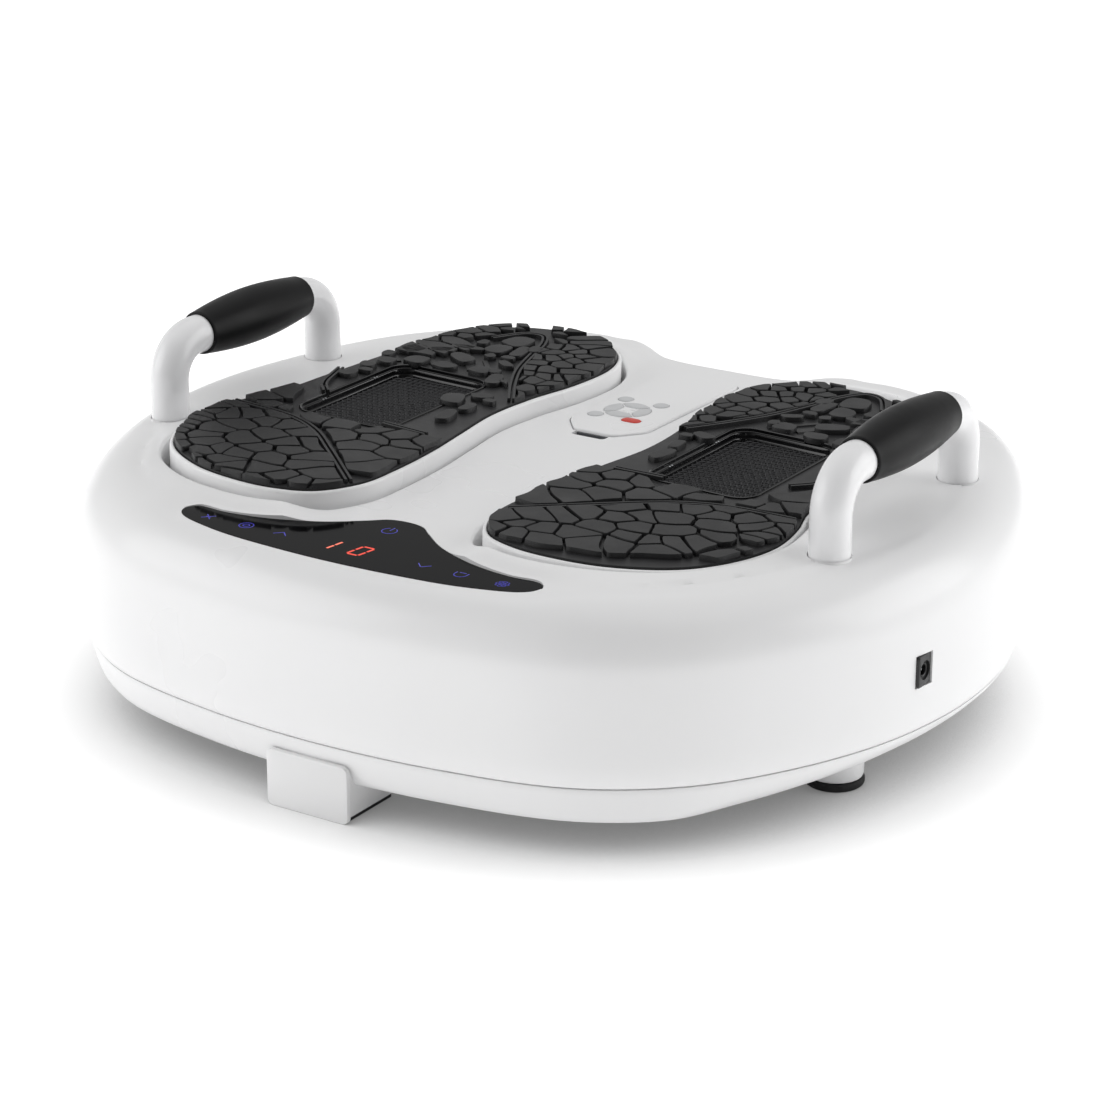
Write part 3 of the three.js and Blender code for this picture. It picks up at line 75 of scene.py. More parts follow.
TRAY_BOTTOM = box_mm("bottom_tray")[0][2]
PANEL_LOW, PANEL_HIGH = box_mm("touch_panel")
BODY_WIDTH = 566
BODY_DEPTH = 495
BODY_TOP = 146.2
VALLEY_Z = 142.2
LIP_TOP = 148.8
SIDES = (("left", -1), ("right", 1))
REST_TILT = math.radians(joint("rocker_swing")["range_deg"][0] / -2)
PIVOT = Vector(joint("rocker_swing")["pos_m"]) / MM
print("rest tilt", round(math.degrees(REST_TILT), 3), "degrees about z", round(PIVOT.z, 1))

# %% [markdown]
# The camera stands in front and to the right of the machine, a little above it, with a long lens, so that the
# nearly round body looks calm and its sides stay almost parallel.

# %% Camera
CAMERA_PLACE = Vector((1.00287, -1.54416, 0.74762))
CAMERA_TURN = math.radians(32.98)
CAMERA_DROP = math.radians(19.89)
SENSOR_MM = 36
LENS_MM = 105.89
NEAREST_M, FARTHEST_M = 0.05, 50

lens = bpy.data.cameras.new("lens")
lens.sensor_width = SENSOR_MM
lens.lens = LENS_MM
lens.clip_start = NEAREST_M
lens.clip_end = FARTHEST_M
camera = bpy.data.objects.new("camera", lens)
camera.location = CAMERA_PLACE
camera.rotation_euler = (math.pi / 2 - CAMERA_DROP, 0, CAMERA_TURN)
scene.collection.objects.link(camera)
scene.camera = camera
print("camera at", [round(v, 3) for v in camera.location])

# %% [markdown]
# Finishes come next. Each is a small node tree that starts from what the real surface is and how it was made.
# One function adds a node with its settings and links, and one turns sRGB hex colours into linear ones.


# %% Material helpers
def linear(hex_colour):
    """An sRGB hex colour such as #f2f2f2 as a linear RGBA tuple."""
    parts = [int(hex_colour[i : i + 2], 16) / 255 for i in (1, 3, 5)]
    return tuple(c / 12.92 if c <= 0.04045 else ((c + 0.055) / 1.055) ** 2.4 for c in parts) + (1.0,)


def add_node(owner, kind, settings=None, links=None):
    """Adds a node to a material or the world: settings name its properties or inputs, and links join an
    input to another node's output."""
    made = owner.node_tree.nodes.new("ShaderNode" + kind)
    for name, value in (settings or {}).items():
        if name in made.inputs:
            made.inputs[name].default_value = value
        else:
            setattr(made, name, value)
    for name, (source, output) in (links or {}).items():
        owner.node_tree.links.new(source.outputs[output], made.inputs[name])
    return made


def new_material(name):
    material = bpy.data.materials.new(name)
    material.use_nodes = True
    material.node_tree.nodes.clear()
    return material


def ramp(material, source, output, low, high, colours):
    """A colour ramp between two places of a pattern, with two hex colours."""
    made = add_node(material, "ValToRGB", None, {"Fac": (source, output)})
    stops = made.color_ramp.elements
    stops[0].position, stops[1].position = low, high
    stops[0].color, stops[1].color = linear(colours[0]), linear(colours[1])
    return made


def finish(material, shader):
    add_node(material, "OutputMaterial", None, {"Surface": (shader, 0)})
    return material


def noise(material, size_mm, detail, roughness=0.5):
    """Noise that is fixed to the piece, with patches about size_mm wide."""
    place = add_node(material, "TexCoord")
    settings = {"Scale": 1 / (size_mm * MM), "Detail": detail, "Roughness": roughness}
    return add_node(material, "TexNoise", settings, {"Vector": (place, "Object")})


def surface(material, tint, patches, limits, roughness, grain, grain_depth_mm, settings):
    """The shader of a solid surface: roughness follows the patches, and a fine grain is laid on as bump."""
    sheen = add_node(material, "MapRange", {"From Min": limits[0], "From Max": limits[1],
                                            "To Min": roughness[0], "To Max": roughness[1]},
                     {"Value": (patches, "Fac")})
    bump = add_node(material, "Bump", {"Strength": 1.0, "Distance": grain_depth_mm * MM},
                    {"Height": (grain, "Fac")})
    shader = add_node(material, "BsdfPrincipled", settings,
                      {"Base Color": tint, "Roughness": (sheen, "Result"), "Normal": (bump, "Normal")})
    return finish(material, shader)


PATCH_LIMITS = (0.1, 0.9)


def plain_finish(name, colours, roughness, grain_mm, grain_depth_mm, patch_mm=60, **settings):
    """A moulded, coated or turned surface: patches of colour and roughness, and a fine grain."""
    material = new_material(name)
    patches = noise(material, patch_mm, 3.0, 0.55)
    grain = noise(material, grain_mm, 2.0, 0.6)
    tint = ramp(material, patches, "Fac", *PATCH_LIMITS, colours)
    return surface(material, (tint, "Color"), patches, PATCH_LIMITS, roughness, grain, grain_depth_mm, settings)


# %% [markdown]
# The body is injection-moulded ABS in gloss white. ABS reflects a little more than water, with an IOR near
# 1.54, and a polished mould still leaves a faint orange peel a millimetre or two wide that softens highlights.
# The handle tubes are steel under a gloss powder coat, whose peel is coarser and deeper.

# %% White finishes
white_abs = plain_finish("gloss_white_abs", ("#f1f1f2", "#f3f3f3"), (0.26, 0.3), 2.2, 0.003, 120,
                         **{"IOR": 1.54})
white_coat = plain_finish("gloss_powder_coat", ("#f0f0f1", "#f2f2f3"), (0.24, 0.28), 1.4, 0.006, 80,
                          **{"IOR": 1.5, "Coat Weight": 0.15, "Coat Roughness": 0.12})
grey_button = plain_finish("satin_grey_keys", ("#c6c7c9", "#cfd0d1"), (0.36, 0.46), 0.5, 0.004, 12,
                           **{"IOR": 1.5})
red_button = plain_finish("satin_red_key", ("#c9301f", "#d63a27"), (0.3, 0.4), 0.5, 0.003, 6, **{"IOR": 1.5})
print("white finishes made")

# %% [markdown]
# The soles are moulded rubber. The mould is spark-eroded, so the rubber has a matt grain of about half a
# millimetre. The lands are polished slightly by feet and look greyer than the grooves, which hold dust, and
# shade in the grooves is painted in as well: the colour follows how far a point stands out, through pointiness.
# The grips are softer satin rubber.


# %% Rubber finishes
RUBBER_PATCH_MM = 22
RUBBER_LIMITS = (0.3, 0.7)
# How strongly edge wear and painted groove shade lighten the lands.
EDGE_WEAR_AND_SHADE = 0.35


def rubber(name, dark, light, roughness, grain_mm, grain_depth_mm, specular=0.3):
    """Moulded rubber: lighter where edges and lands stand out, partly rubbed wear and partly painted shade in
    the grooves, with roughness that follows broad patches and a fine matt grain.
    """
    material = new_material(name)
    shape = add_node(material, "NewGeometry")
    patches = noise(material, RUBBER_PATCH_MM, 5.0, 0.6)
    grain = noise(material, grain_mm, 3.0, 0.7)
    tint = ramp(material, patches, "Fac", *RUBBER_LIMITS, (dark, light))
    # Pointiness makes edges and lands lighter: partly rubbed wear, partly painted shade in the grooves.
    rubbed_and_painted_shade = ramp(material, shape, "Pointiness", 0.5, 0.58, ("#000000", "#2a2a2b"))
    worn_and_painted_shade = add_node(material, "Mix", {"data_type": "RGBA", "blend_type": "ADD"},
                    {6: (tint, "Color"), 7: (rubbed_and_painted_shade, "Color")})
    worn_and_painted_shade.inputs[0].default_value = EDGE_WEAR_AND_SHADE
    return surface(material, (worn_and_painted_shade, 2), patches, RUBBER_LIMITS, roughness, grain, grain_depth_mm,
                   {"IOR": 1.52, "Specular IOR Level": specular})


tread_rubber = rubber("moulded_tread_rubber", "#161617", "#202021", (0.36, 0.5), 0.55, 0.03)
grip_rubber = rubber("soft_touch_grip_rubber", "#080809", "#0e0e0f", (0.34, 0.46), 0.4, 0.012, specular=0.12)
foot_rubber = rubber("matt_foot_rubber", "#131314", "#1c1c1d", (0.6, 0.75), 0.6, 0.03)
belt_rubber = rubber("belt_rubber", "#151516", "#1d1d1e", (0.55, 0.7), 0.6, 0.03)
print("rubber finishes made")

# %% [markdown]
# The touch panel is a smoked acrylic sheet printed black from behind: nearly black and smooth, with a coat
# against glare, so it hardly mirrors the lights. The window frames are gloss black ABS, and the mesh is black painted metal.
# The lit marks glow through the print, so they are faint emitters that stay coloured when lit from above.


# %% Black, glowing and clear finishes
def lit_mark(name, colour, strength):
    """A faint emitter behind dark print."""
    material = new_material(name)
    glow = ramp(material, noise(material, 1.2, 1.0), "Fac", 0.2, 0.8, (colour, colour))
    shader = add_node(material, "BsdfPrincipled", {"Roughness": 0.2, "Emission Strength": strength},
                      {"Base Color": (glow, "Color"), "Emission Color": (glow, "Color")})
    return finish(material, shader)


panel_acrylic = plain_finish("smoked_acrylic", ("#050506", "#09090b"), (0.04, 0.12), 4.0, 0.0006, 25,
                             **{"IOR": 1.49, "Specular IOR Level": 0.04})
black_gloss = plain_finish("gloss_black_abs", ("#08080a", "#0d0d0f"), (0.08, 0.18), 1.5, 0.003, 20,
                           **{"IOR": 1.54})
black_abs = plain_finish("textured_black_abs", ("#0f0f10", "#161617"), (0.35, 0.5), 0.5, 0.02, 15,
                         **{"IOR": 1.54})
mesh_paint = plain_finish("black_painted_mesh", ("#2b2b2d", "#363638"), (0.26, 0.38), 0.7, 0.01, 12,
                          **{"IOR": 1.5, "Metallic": 0.5})
mark_blue = lit_mark("blue_backlight", "#3431a8", 0.4)
digit_red = lit_mark("red_backlight", "#e03a22", 0.7)
digit_dim = lit_mark("first_digit_backlight", "#ef6f55", 0.7)
smoke_lens = plain_finish("smoked_lens", ("#4c4f54", "#5a5d62"), (0.05, 0.1), 1.0, 0.001, 4,
                          **{"IOR": 1.49, "Transmission Weight": 0.5})
print("black, glowing and clear finishes made")

# %% [markdown]
# Inside the body are turned and painted steel, bronze bushes and a circuit board. They are seen only through
# the clearances round the foot plates, but each still has its own grain.

# %% Metals and board
steel = plain_finish("turned_steel", ("#a9abad", "#bdbfc1"), (0.25, 0.4), 0.6, 0.006, 12, **{"Metallic": 1.0})
painted_steel = plain_finish("grey_primed_steel", ("#43464b", "#4d5055"), (0.45, 0.6), 1.2, 0.02, 25,
                             **{"IOR": 1.5})
bronze = plain_finish("sintered_bronze", ("#9a6b35", "#b07c40"), (0.35, 0.5), 0.4, 0.01, 8,
                      **{"Metallic": 1.0})
circuit_board = plain_finish("green_solder_mask", ("#1c5434", "#236640"), (0.25, 0.4), 0.8, 0.01, 10,
                             **{"IOR": 1.5})

FINISH_OF_SLOT = {
    "white_abs": white_abs, "white_coat": white_coat, "black_rubber": tread_rubber, "foot_rubber": foot_rubber,
    "grip_rubber": grip_rubber, "black_gloss": black_gloss, "black_abs": black_abs, "grey_button": grey_button,
    "red_button": red_button, "smoke_lens": smoke_lens, "steel": steel, "painted_steel": painted_steel,
    "bronze": bronze, "circuit_board": circuit_board, "belt_rubber": belt_rubber,
}
SLOT_OF_NODE = {row["node"]: row["material_slot"] for row in frame["record"]["subparts"]}
for node_name, node_object in frame["nodes"].items():
    node_object.data.materials.clear()
    node_object.data.materials.append(FINISH_OF_SLOT[SLOT_OF_NODE[node_name]])
print("finishes given to", len(frame["nodes"]), "packed nodes")

# %% [markdown]
# Shapes are worked out as lists of points in millimetres. These helpers draw smooth closed curves, measure
# distances to them, and turn points and faces into a named piece that rides on a body.


# %% Curve helpers
CURVE_STEPS = 24


def smooth_closed(points, count):
    """A closed centripetal curve through the points, with its own points spaced evenly along it."""
    knots = np.array(points, float)
    total = len(knots)
    fine = []
    for index in range(total):
        p0, p1, p2, p3 = (knots[(index + shift) % total] for shift in (-1, 0, 1, 2))
        d0, d1, d2 = (max(np.linalg.norm(b - a) ** 0.5, 1e-6) for a, b in ((p0, p1), (p1, p2), (p2, p3)))
        t1 = ((p1 - p0) / d0 - (p2 - p0) / (d0 + d1) + (p2 - p1) / d1) * d1
        t2 = ((p2 - p1) / d1 - (p3 - p1) / (d1 + d2) + (p3 - p2) / d2) * d1
        for step in range(CURVE_STEPS):
            t = step / CURVE_STEPS
            fine.append(p1 + t1 * t + (-3 * p1 + 3 * p2 - 2 * t1 - t2) * t**2
                        + (2 * p1 - 2 * p2 + t1 + t2) * t**3)
    return respaced(np.array(fine), count)


def respaced(closed, count):
    """The same closed line with evenly spaced points."""
    loop = np.vstack([closed, closed[:1]])
    along = np.concatenate([[0], np.cumsum(np.linalg.norm(np.diff(loop, axis=0), axis=1))])
    places = np.linspace(0, along[-1], count, endpoint=False)
    return np.column_stack([np.interp(places, along, loop[:, axis]) for axis in (0, 1)])


def fit_to_box(points, width, length, centre_x, centre_y):
    low, high = points.min(0), points.max(0)
    return (points - (low + high) / 2) * np.array([width, length]) / (high - low) + (centre_x, centre_y)


def half_to_full(half):
    return list(half) + [(-x, y) for x, y in reversed(half) if x > 0]


def area(points):
    x, y = points[:, 0], points[:, 1]
    return 0.5 * float(np.sum(x * np.roll(y, -1) - np.roll(x, -1) * y))


def counterclockwise(points):
    points = np.array(points, float)
    return points if area(points) > 0 else points[::-1]


def outward(points):
    """Unit normals that point out of a counterclockwise loop."""
    ahead = np.roll(points, -1, 0) - np.roll(points, 1, 0)
    normals = np.column_stack([ahead[:, 1], -ahead[:, 0]])
    return normals / np.linalg.norm(normals, axis=1)[:, None]


def grow(points, distance):
    return points + outward(points) * np.reshape(distance, (-1, 1))


def mirrored(points):
    return (points * (-1, 1))[::-1]


def on_side(points, side):
    return points if side > 0 else mirrored(points)


def rounded_box(width, length, radius, centre_x=0, centre_y=0, steps=8):
    loop = []
    for side_x, side_y, start in ((1, -1, -90), (1, 1, 0), (-1, 1, 90), (-1, -1, 180)):
        for step in range(steps + 1):
            angle = math.radians(start + 90 * step / steps)
            loop.append((centre_x + side_x * (width / 2 - radius) + radius * math.cos(angle),
                         centre_y + side_y * (length / 2 - radius) + radius * math.sin(angle)))
    return np.array(loop)


def circle(radius, centre_x=0, centre_y=0, count=48):
    angles = np.arange(count) * 2 * math.pi / count
    return np.column_stack([centre_x + radius * np.cos(angles), centre_y + radius * np.sin(angles)])


def smoothstep(value, low, high):
    share = np.clip((np.asarray(value, float) - low) / (high - low), 0, 1)
    return share * share * (3 - 2 * share)


def distance_to(points, loop):
    """The distance from each point to a closed line."""
    start, end = loop, np.roll(loop, -1, 0)
    best = np.full(len(points), np.inf)
    for a, b in zip(start, end):
        along = b - a
        share = np.clip(((points - a) @ along) / max(along @ along, 1e-12), 0, 1)
        best = np.minimum(best, np.linalg.norm(points - a - share[:, None] * along, axis=1))
    return best


def inside(points, loop):
    """Which points lie inside a closed line."""
    result = np.zeros(len(points), bool)
    for a, b in zip(loop, np.roll(loop, -1, 0)):
        spans = (a[1] > points[:, 1]) != (b[1] > points[:, 1])
        rise = b[1] - a[1] if b[1] != a[1] else 1e-12
        result ^= spans & (points[:, 0] < (b[0] - a[0]) * (points[:, 1] - a[1]) / rise + a[0])
    return result


# %% Mesh helpers
def tilted(points):
    """Level rocker points turned about the rocker shaft to where the rocker rests."""
    turn = Matrix.Translation(PIVOT) @ Matrix.Rotation(REST_TILT, 4, "Y") @ Matrix.Translation(-PIVOT)
    return [turn @ Vector(p) for p in points]


def make_piece(name, points, faces, material, body, replaces=(), crease=35):
    """A mesh piece from points in millimetres, with edges sharper than the crease angle kept crisp."""
    mesh = bpy.data.meshes.new(name)
    mesh.from_pydata([tuple(float(c) * MM for c in p) for p in points], [], faces)
    mesh.validate()
    mesh.materials.append(material)
    mesh.shade_smooth()
    mesh.set_sharp_from_angle(angle=math.radians(crease))
    piece = bpy.data.objects.new(name, mesh)
    scene.collection.objects.link(piece)
    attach(piece, body)
    if replaces:
        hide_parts(*replaces)
    return piece


class Shape:
    """Collects points and faces of one piece before it becomes a mesh."""

    def __init__(self):
        self.points = []
        self.faces = []

    def ring(self, loop, z):
        """Adds a loop at a height (one number or one for each point) and returns its point numbers."""
        first = len(self.points)
        heights = np.broadcast_to(z, len(loop))
        self.points += [(p[0], p[1], h) for p, h in zip(loop, heights)]
        return list(range(first, first + len(loop)))

    def space_ring(self, loop):
        first = len(self.points)
        self.points += [tuple(p) for p in loop]
        return list(range(first, first + len(loop)))

    def band(self, lower, upper):
        """Faces between two rings; they face out when the rings run counterclockwise and climb."""
        lower_next = lower[1:] + lower[:1]
        upper_next = upper[1:] + upper[:1]
        self.faces += list(zip(lower, lower_next, upper_next, upper))

    def bands(self, rings):
        for lower, upper in zip(rings, rings[1:]):
            self.band(lower, upper)

    def cap(self, ring, up=True):
        corners = [Vector(self.points[i]) for i in ring]
        for a, b, c in tessellate_polygon([corners]):
            flat = (corners[b] - corners[a]).cross(corners[c] - corners[a]).z
            order = (a, b, c) if (flat > 0) == up else (a, c, b)
            self.faces.append(tuple(ring[i] for i in order))

    def solid(self, rings):
        """Walls between rings, from the lowest to the highest, closed at both ends."""
        self.bands(rings)
        self.cap(rings[-1], True)
        self.cap(rings[0], False)

    def sheet(self, outline, holes, z, up=True):
        """A flat sheet with holes; returns the point numbers of its outline and of each hole."""
        made, corners, origins = triangulated(outline, holes, np.empty((0, 2)))
        where = {source: index for index, origin in enumerate(origins) for source in origin}
        first = len(self.points)
        self.points += [(x, y, z) for x, y in made]
        self.faces += [tuple(first + i for i in (c if up else c[::-1])) for c in corners]
        found = []
        start = 0
        for loop in (outline, *holes):
            found.append([first + where[start + i] for i in range(len(loop))])
            start += len(loop)
        return found

    def prism(self, loop, low, high, bevel=0.0, draft=0.0):
        """An upright block over a loop, with a small bevel round its top and sides that lean in."""
        loop = counterclockwise(loop)
        rings = [self.ring(grow(loop, draft), low)]
        if bevel:
            rings.append(self.ring(loop, high - bevel))
            rings.append(self.ring(grow(loop, -bevel * 0.3), high - bevel * 0.3))
            rings.append(self.ring(grow(loop, -bevel), high))
            rings.append(self.ring(grow(loop, -bevel * 1.6), high))
        else:
            rings.append(self.ring(loop, high))
        self.solid(rings)

    def turned(self, profile, segments=64, axis="z", place=(0, 0, 0)):
        """A turned solid: the profile is (radius, height) pairs from the axis back to the axis."""
        rings = []
        for radius, height in profile:
            loop = circle(max(radius, 0.001), count=segments)
            spots = [(x, y, height) for x, y in loop]
            if axis == "y":
                spots = [(x, height, -y) for x, y, height in spots]
            if axis == "x":
                spots = [(height, x, y) for x, y, height in spots]
            rings.append(self.space_ring(np.array(spots) + np.array(place)))
        self.bands(rings)

    def piece(self, name, material, body, slot, replaces=(), crease=35, tilt=False):
        points = tilted(self.points) if tilt else self.points
        return make_piece(name, points, self.faces, material, body, replaces, crease)


print("shape helpers ready")

# %% [markdown]
# The outlines of the body, the soles, the panel and the remote are the ones the machine is designed with. Only
# the knots of each outline are written down, and a smooth curve is drawn through them as finely as needed.

# %% Outlines
# Half of the body's and the panel's outline, as shares of half the width and of the depth.
BODY_HALF = [
    (0, -1), (0.283, -0.976), (0.548, -0.903), (0.724, -0.77), (0.848, -0.588), (0.954, -0.325),
    (1, -0.042), (0.989, 0.22), (0.947, 0.402), (0.883, 0.564), (0.795, 0.725), (0.689, 0.855),
    (0.53, 0.956), (0.389, 1), (0.283, 0.98), (0.17, 0.883), (0, 0.867),
]
SOLE_KNOTS = [
    (104, -166), (140, -160), (174, -140), (192, -112), (199, -83), (195, -50), (187, -24), (183, 25),
    (179, 75), (174, 118), (163, 157), (143, 181), (108, 192), (80, 187), (58, 168), (47, 140), (47, 100),
    (54, 58), (56, 18), (51, -22), (46, -60), (44, -100), (46, -130), (60, -155), (80, -164),
]
PANEL_HALF = [
    (0, 1), (0.09, 0.974), (0.172, 0.868), (0.336, 0.671), (0.582, 0.507), (0.8, 0.447), (0.951, 0.454),
    (1, 0.375), (0.984, 0.28), (0.918, 0.197), (0.656, 0.079), (0.328, 0.02), (0, 0),
]
PANEL_SIZE = (PANEL_HIGH - PANEL_LOW)[:2]
PANEL_CENTRE = (0, (PANEL_LOW[1] + PANEL_HIGH[1]) / 2)
BODY_POINTS = 480
SOLE_POINTS = 320
PANEL_POINTS = 260
SOLE_SIZE = (155, 358)
SOLE_CENTRE = (121.5, 13.5)
PLATE_RIM = 3
WELL_GAP = 4


def outline_of(knots, count, size, centre=(0, 0)):
    return counterclockwise(fit_to_box(smooth_closed(knots, count), *size, *centre))


body_outline = outline_of(half_to_full(BODY_HALF), BODY_POINTS, (BODY_WIDTH, BODY_DEPTH))
sole_outline = outline_of(SOLE_KNOTS, SOLE_POINTS, SOLE_SIZE, SOLE_CENTRE)
plate_outline = grow(sole_outline, PLATE_RIM)
well_outline = grow(plate_outline, WELL_GAP)
panel_outline = outline_of(half_to_full(PANEL_HALF), PANEL_POINTS, PANEL_SIZE, PANEL_CENTRE)


def rounded_corners(corners, radii, steps=6):
    """A closed line through corner points with each corner rounded by its own radius."""
    loop = []
    count = len(corners)
    for index, (corner, radius) in enumerate(zip(corners, radii)):
        corner = np.array(corner, float)
        before = np.array(corners[index - 1], float) - corner
        after = np.array(corners[(index + 1) % count], float) - corner
        reach = min(radius, 0.45 * np.linalg.norm(before), 0.45 * np.linalg.norm(after))
        start = corner + before / np.linalg.norm(before) * reach
        end = corner + after / np.linalg.norm(after) * reach
        for step in range(steps + 1):
            t = step / steps
            loop.append((1 - t) ** 2 * start + 2 * t * (1 - t) * corner + t * t * end)
    return np.array(loop)


REMOTE_LOW, REMOTE_HIGH = box_mm("remote_cover")
NOTCH_HALF = 12
NOTCH_FRONT = 42
# Half widths of the remote at its nose and sides, its ends, and how far the shoulders lie behind the nose.
REMOTE_NOSE, REMOTE_SIDE = 14, 28
REMOTE_FRONT, REMOTE_BACK = 50, 182
REMOTE_SHOULDER = 17


def remote_loop(margin, notch=False):
    """The remote's outline with a margin; with the notch it is the outline of the pocket."""
    side = REMOTE_SIDE + margin
    nose = REMOTE_NOSE + margin / 2
    front, back = REMOTE_FRONT - margin, REMOTE_BACK + margin
    shoulder = front + REMOTE_SHOULDER + margin
    corners = [(nose, front), (side, shoulder), (side, back), (-side, back), (-side, shoulder), (-nose, front)]
    radii = [5, 5, 7, 7, 5, 5]
    if notch:
        corners += [(-NOTCH_HALF, front), (-NOTCH_HALF, NOTCH_FRONT),
                    (NOTCH_HALF, NOTCH_FRONT), (NOTCH_HALF, front)]
        radii = [1.5, 5, 7, 7, 5, 1.5, 1.5, 8, 8, 1.5]
    return counterclockwise(rounded_corners(corners, radii))


INLET_LOW, INLET_HIGH = box_mm("power_inlet")
POCKET_GAP = 0.3
POCKET_DEPTH = 8
HAIR = 0.01
POCKET_Y = (INLET_LOW[1] - POCKET_GAP, INLET_HIGH[1] + POCKET_GAP)
POCKET_Z = (INLET_LOW[2] - POCKET_GAP, INLET_HIGH[2] + POCKET_GAP)


def with_pocket_corners(outline):
    """Slides the nearest point of the right side along to each upright edge of the inlet's pocket."""
    outline = outline.copy()
    right = np.where(outline[:, 0] > 0)[0]
    order = right[np.argsort(outline[right, 1])]
    for y in POCKET_Y:
        x = float(np.interp(y, outline[order, 1], outline[order, 0]))
        nearest = right[np.abs(outline[right, 1] - y).argmin()]
        outline[nearest] = (x, y)
    return outline


body_outline = with_pocket_corners(body_outline)
FRONT_EDGE, BACK_EDGE, BAY_EDGE = 38, 26, 12
BACK_FROM, BACK_TO = BODY_DEPTH * 0.12, BODY_DEPTH * 0.35
BAY_INNER, BAY_OUTER = 55, 95


def edge_radius(points):
    """The radius of the body's top edge: large in front and at the sides, small in the bay at the back."""
    back = smoothstep(points[:, 1], BACK_FROM, BACK_TO)
    bay = smoothstep(-np.abs(points[:, 0]), -BAY_OUTER, -BAY_INNER) * back
    radius = FRONT_EDGE + (BACK_EDGE - FRONT_EDGE) * back
    return radius + (BAY_EDGE - radius) * bay


print("body outline points", len(body_outline), "sole outline points", len(sole_outline))

# %% [markdown]
# The top of the body is one moulded skin. Between the soles it dips into a shallow valley that runs to the
# back and widens in front for the touch panel, and round each foot well the skin rises to a soft lip. Its
# height is a formula of the place, and the skin is a triangulation that follows every edge and hole.


# %% Height of the top skin
# Where each slope begins and ends: the valley's sides, and the sides and back of the dip round the panel.
VALLEY_SLOPE = (46, 74)
DIP_SLOPE_X = (118, 150)
DIP_SLOPE_Y = (-196, -168)


def flat_height(points):
    """The height of the top away from the wells: the handle plane, or the valley 4 mm below it."""
    x, y = np.abs(points[:, 0]), points[:, 1]
    middle = 1 - smoothstep(x, *VALLEY_SLOPE)
    front = (1 - smoothstep(x, *DIP_SLOPE_X)) * (1 - smoothstep(y, *DIP_SLOPE_Y))
    return BODY_TOP - (BODY_TOP - VALLEY_Z) * np.maximum(middle, front)


def well_distance(points):
    return np.minimum(distance_to(points, well_outline), distance_to(points, mirrored(well_outline)))


HANDLE_X = 230
HANDLE_Y = 4.5
HANDLE_HALF = 78.2
LEG_PLACES = [(side * HANDLE_X, HANDLE_Y + end * HANDLE_HALF) for side in (1, -1) for end in (1, -1)]
LEG_HOLE_RADIUS = 12.4
REMOTE_GAP = 0.8
# How high the lip round a well stands beside the valley, where it fades out, and how its crest is rounded.
VALLEY_LIP = 0.6
LIP_FADE = (1.5, 17)
PANEL_FADE = (0.5, 8)
REMOTE_FADE = (0.5, 6)
LIP_ROUNDING = 2.0


def top_height(points):
    """The height of the top skin at each place."""
    flat = flat_height(points)
    away = well_distance(points)
    beside_valley = 1 - smoothstep(np.abs(points[:, 0]), *VALLEY_SLOPE)
    rise = VALLEY_LIP + (LIP_TOP - BODY_TOP - VALLEY_LIP) * (1 - beside_valley)
    clear = smoothstep(distance_to(points, panel_outline), *PANEL_FADE)
    clear *= smoothstep(distance_to(points, remote_loop(REMOTE_GAP)), *REMOTE_FADE)
    lip = rise * (1 - smoothstep(away, *LIP_FADE)) * clear
    near = np.clip(LIP_ROUNDING - away, 0, LIP_ROUNDING)
    return flat + lip - (LIP_ROUNDING - np.sqrt(LIP_ROUNDING**2 - near**2))


def soft_lower(a, b, blend):
    """The lower of two heights with a soft corner between them."""
    share = np.clip(blend - np.abs(a - b), 0, blend) / blend
    return np.minimum(a, b) - share * share * blend / 4


# %% [markdown]
# The wall of the skin is lofted in rings from the seam to the top edge, a quarter-round whose radius changes
# round the body. The wells, the panel recess, the remote's pocket and the leg holes get walls of their own.

# %% Top skin
EDGE_STEPS = 16
EDGE_BLEND = 3.0
PANEL_GAP = 0.3
HOLES = {
    "right_well": well_outline,
    "left_well": mirrored(well_outline),
    "panel": grow(panel_outline, PANEL_GAP),
    "pocket": remote_loop(REMOTE_GAP, notch=True),
}
for number, (leg_x, leg_y) in enumerate(LEG_PLACES):
    HOLES[f"leg_{number}"] = circle(LEG_HOLE_RADIUS, leg_x, leg_y)
RINGS_ROUND_HOLE = {"well": (0.35, 0.9, 1.5, 2.1, 3.5, 5.5, 8, 11, 14, 17.5), "panel": (0.3, 0.8, 2.5),
                    "pocket": (0.25, 0.7, 2), "leg": (0.4, 1.2, 4)}
HOLE_FLOOR = {"well": 122, "panel": 139.5, "pocket": 130.8, "leg": 112}
WALL_FOOT = 1.5
TOP_GRID_MM = 5.5
ROW_SHARE = 0.866
# Insets and heights of the wall from the seam up, below the pocket of the power inlet.
SEAM_RINGS = [(4.9, 44.3), (3.8, 44.15), (3.2, 44.6), (2.2, 47.2), (1.2, 50.2), (0.35, 54.2), (0, 58.2)]
# The least distances between the points of the top, in millimetres or as shares of the distance aimed at.
ROOM_AT_RIM = 1.2
ROOM_AT_HOLE = 0.9
RING_SHARE = 0.93
GRID_ROOM = 2.5
GRID_SHARE = 0.55


def hole_kind(name):
    return name.split("_")[-1] if "well" in name else name.split("_")[0]


def edge_rings():
    """Rings of the outer wall from the seam up to the edge of the top."""
    rings = []
    normals = outward(body_outline)
    radius = edge_radius(body_outline)
    for inset, z in SEAM_RINGS + [(0, POCKET_Z[0]), (0, POCKET_Z[1])]:
        rings.append((body_outline - normals * inset, np.full(BODY_POINTS, float(z))))
    for step in range(EDGE_STEPS + 1):
        angle = math.pi / 2 * step / EDGE_STEPS
        spots = body_outline - normals * (radius * (1 - math.cos(angle)))[:, None]
        z = BODY_TOP - radius * (1 - math.sin(angle))
        rings.append((spots, soft_lower(z, flat_height(spots), EDGE_BLEND)))
    return rings


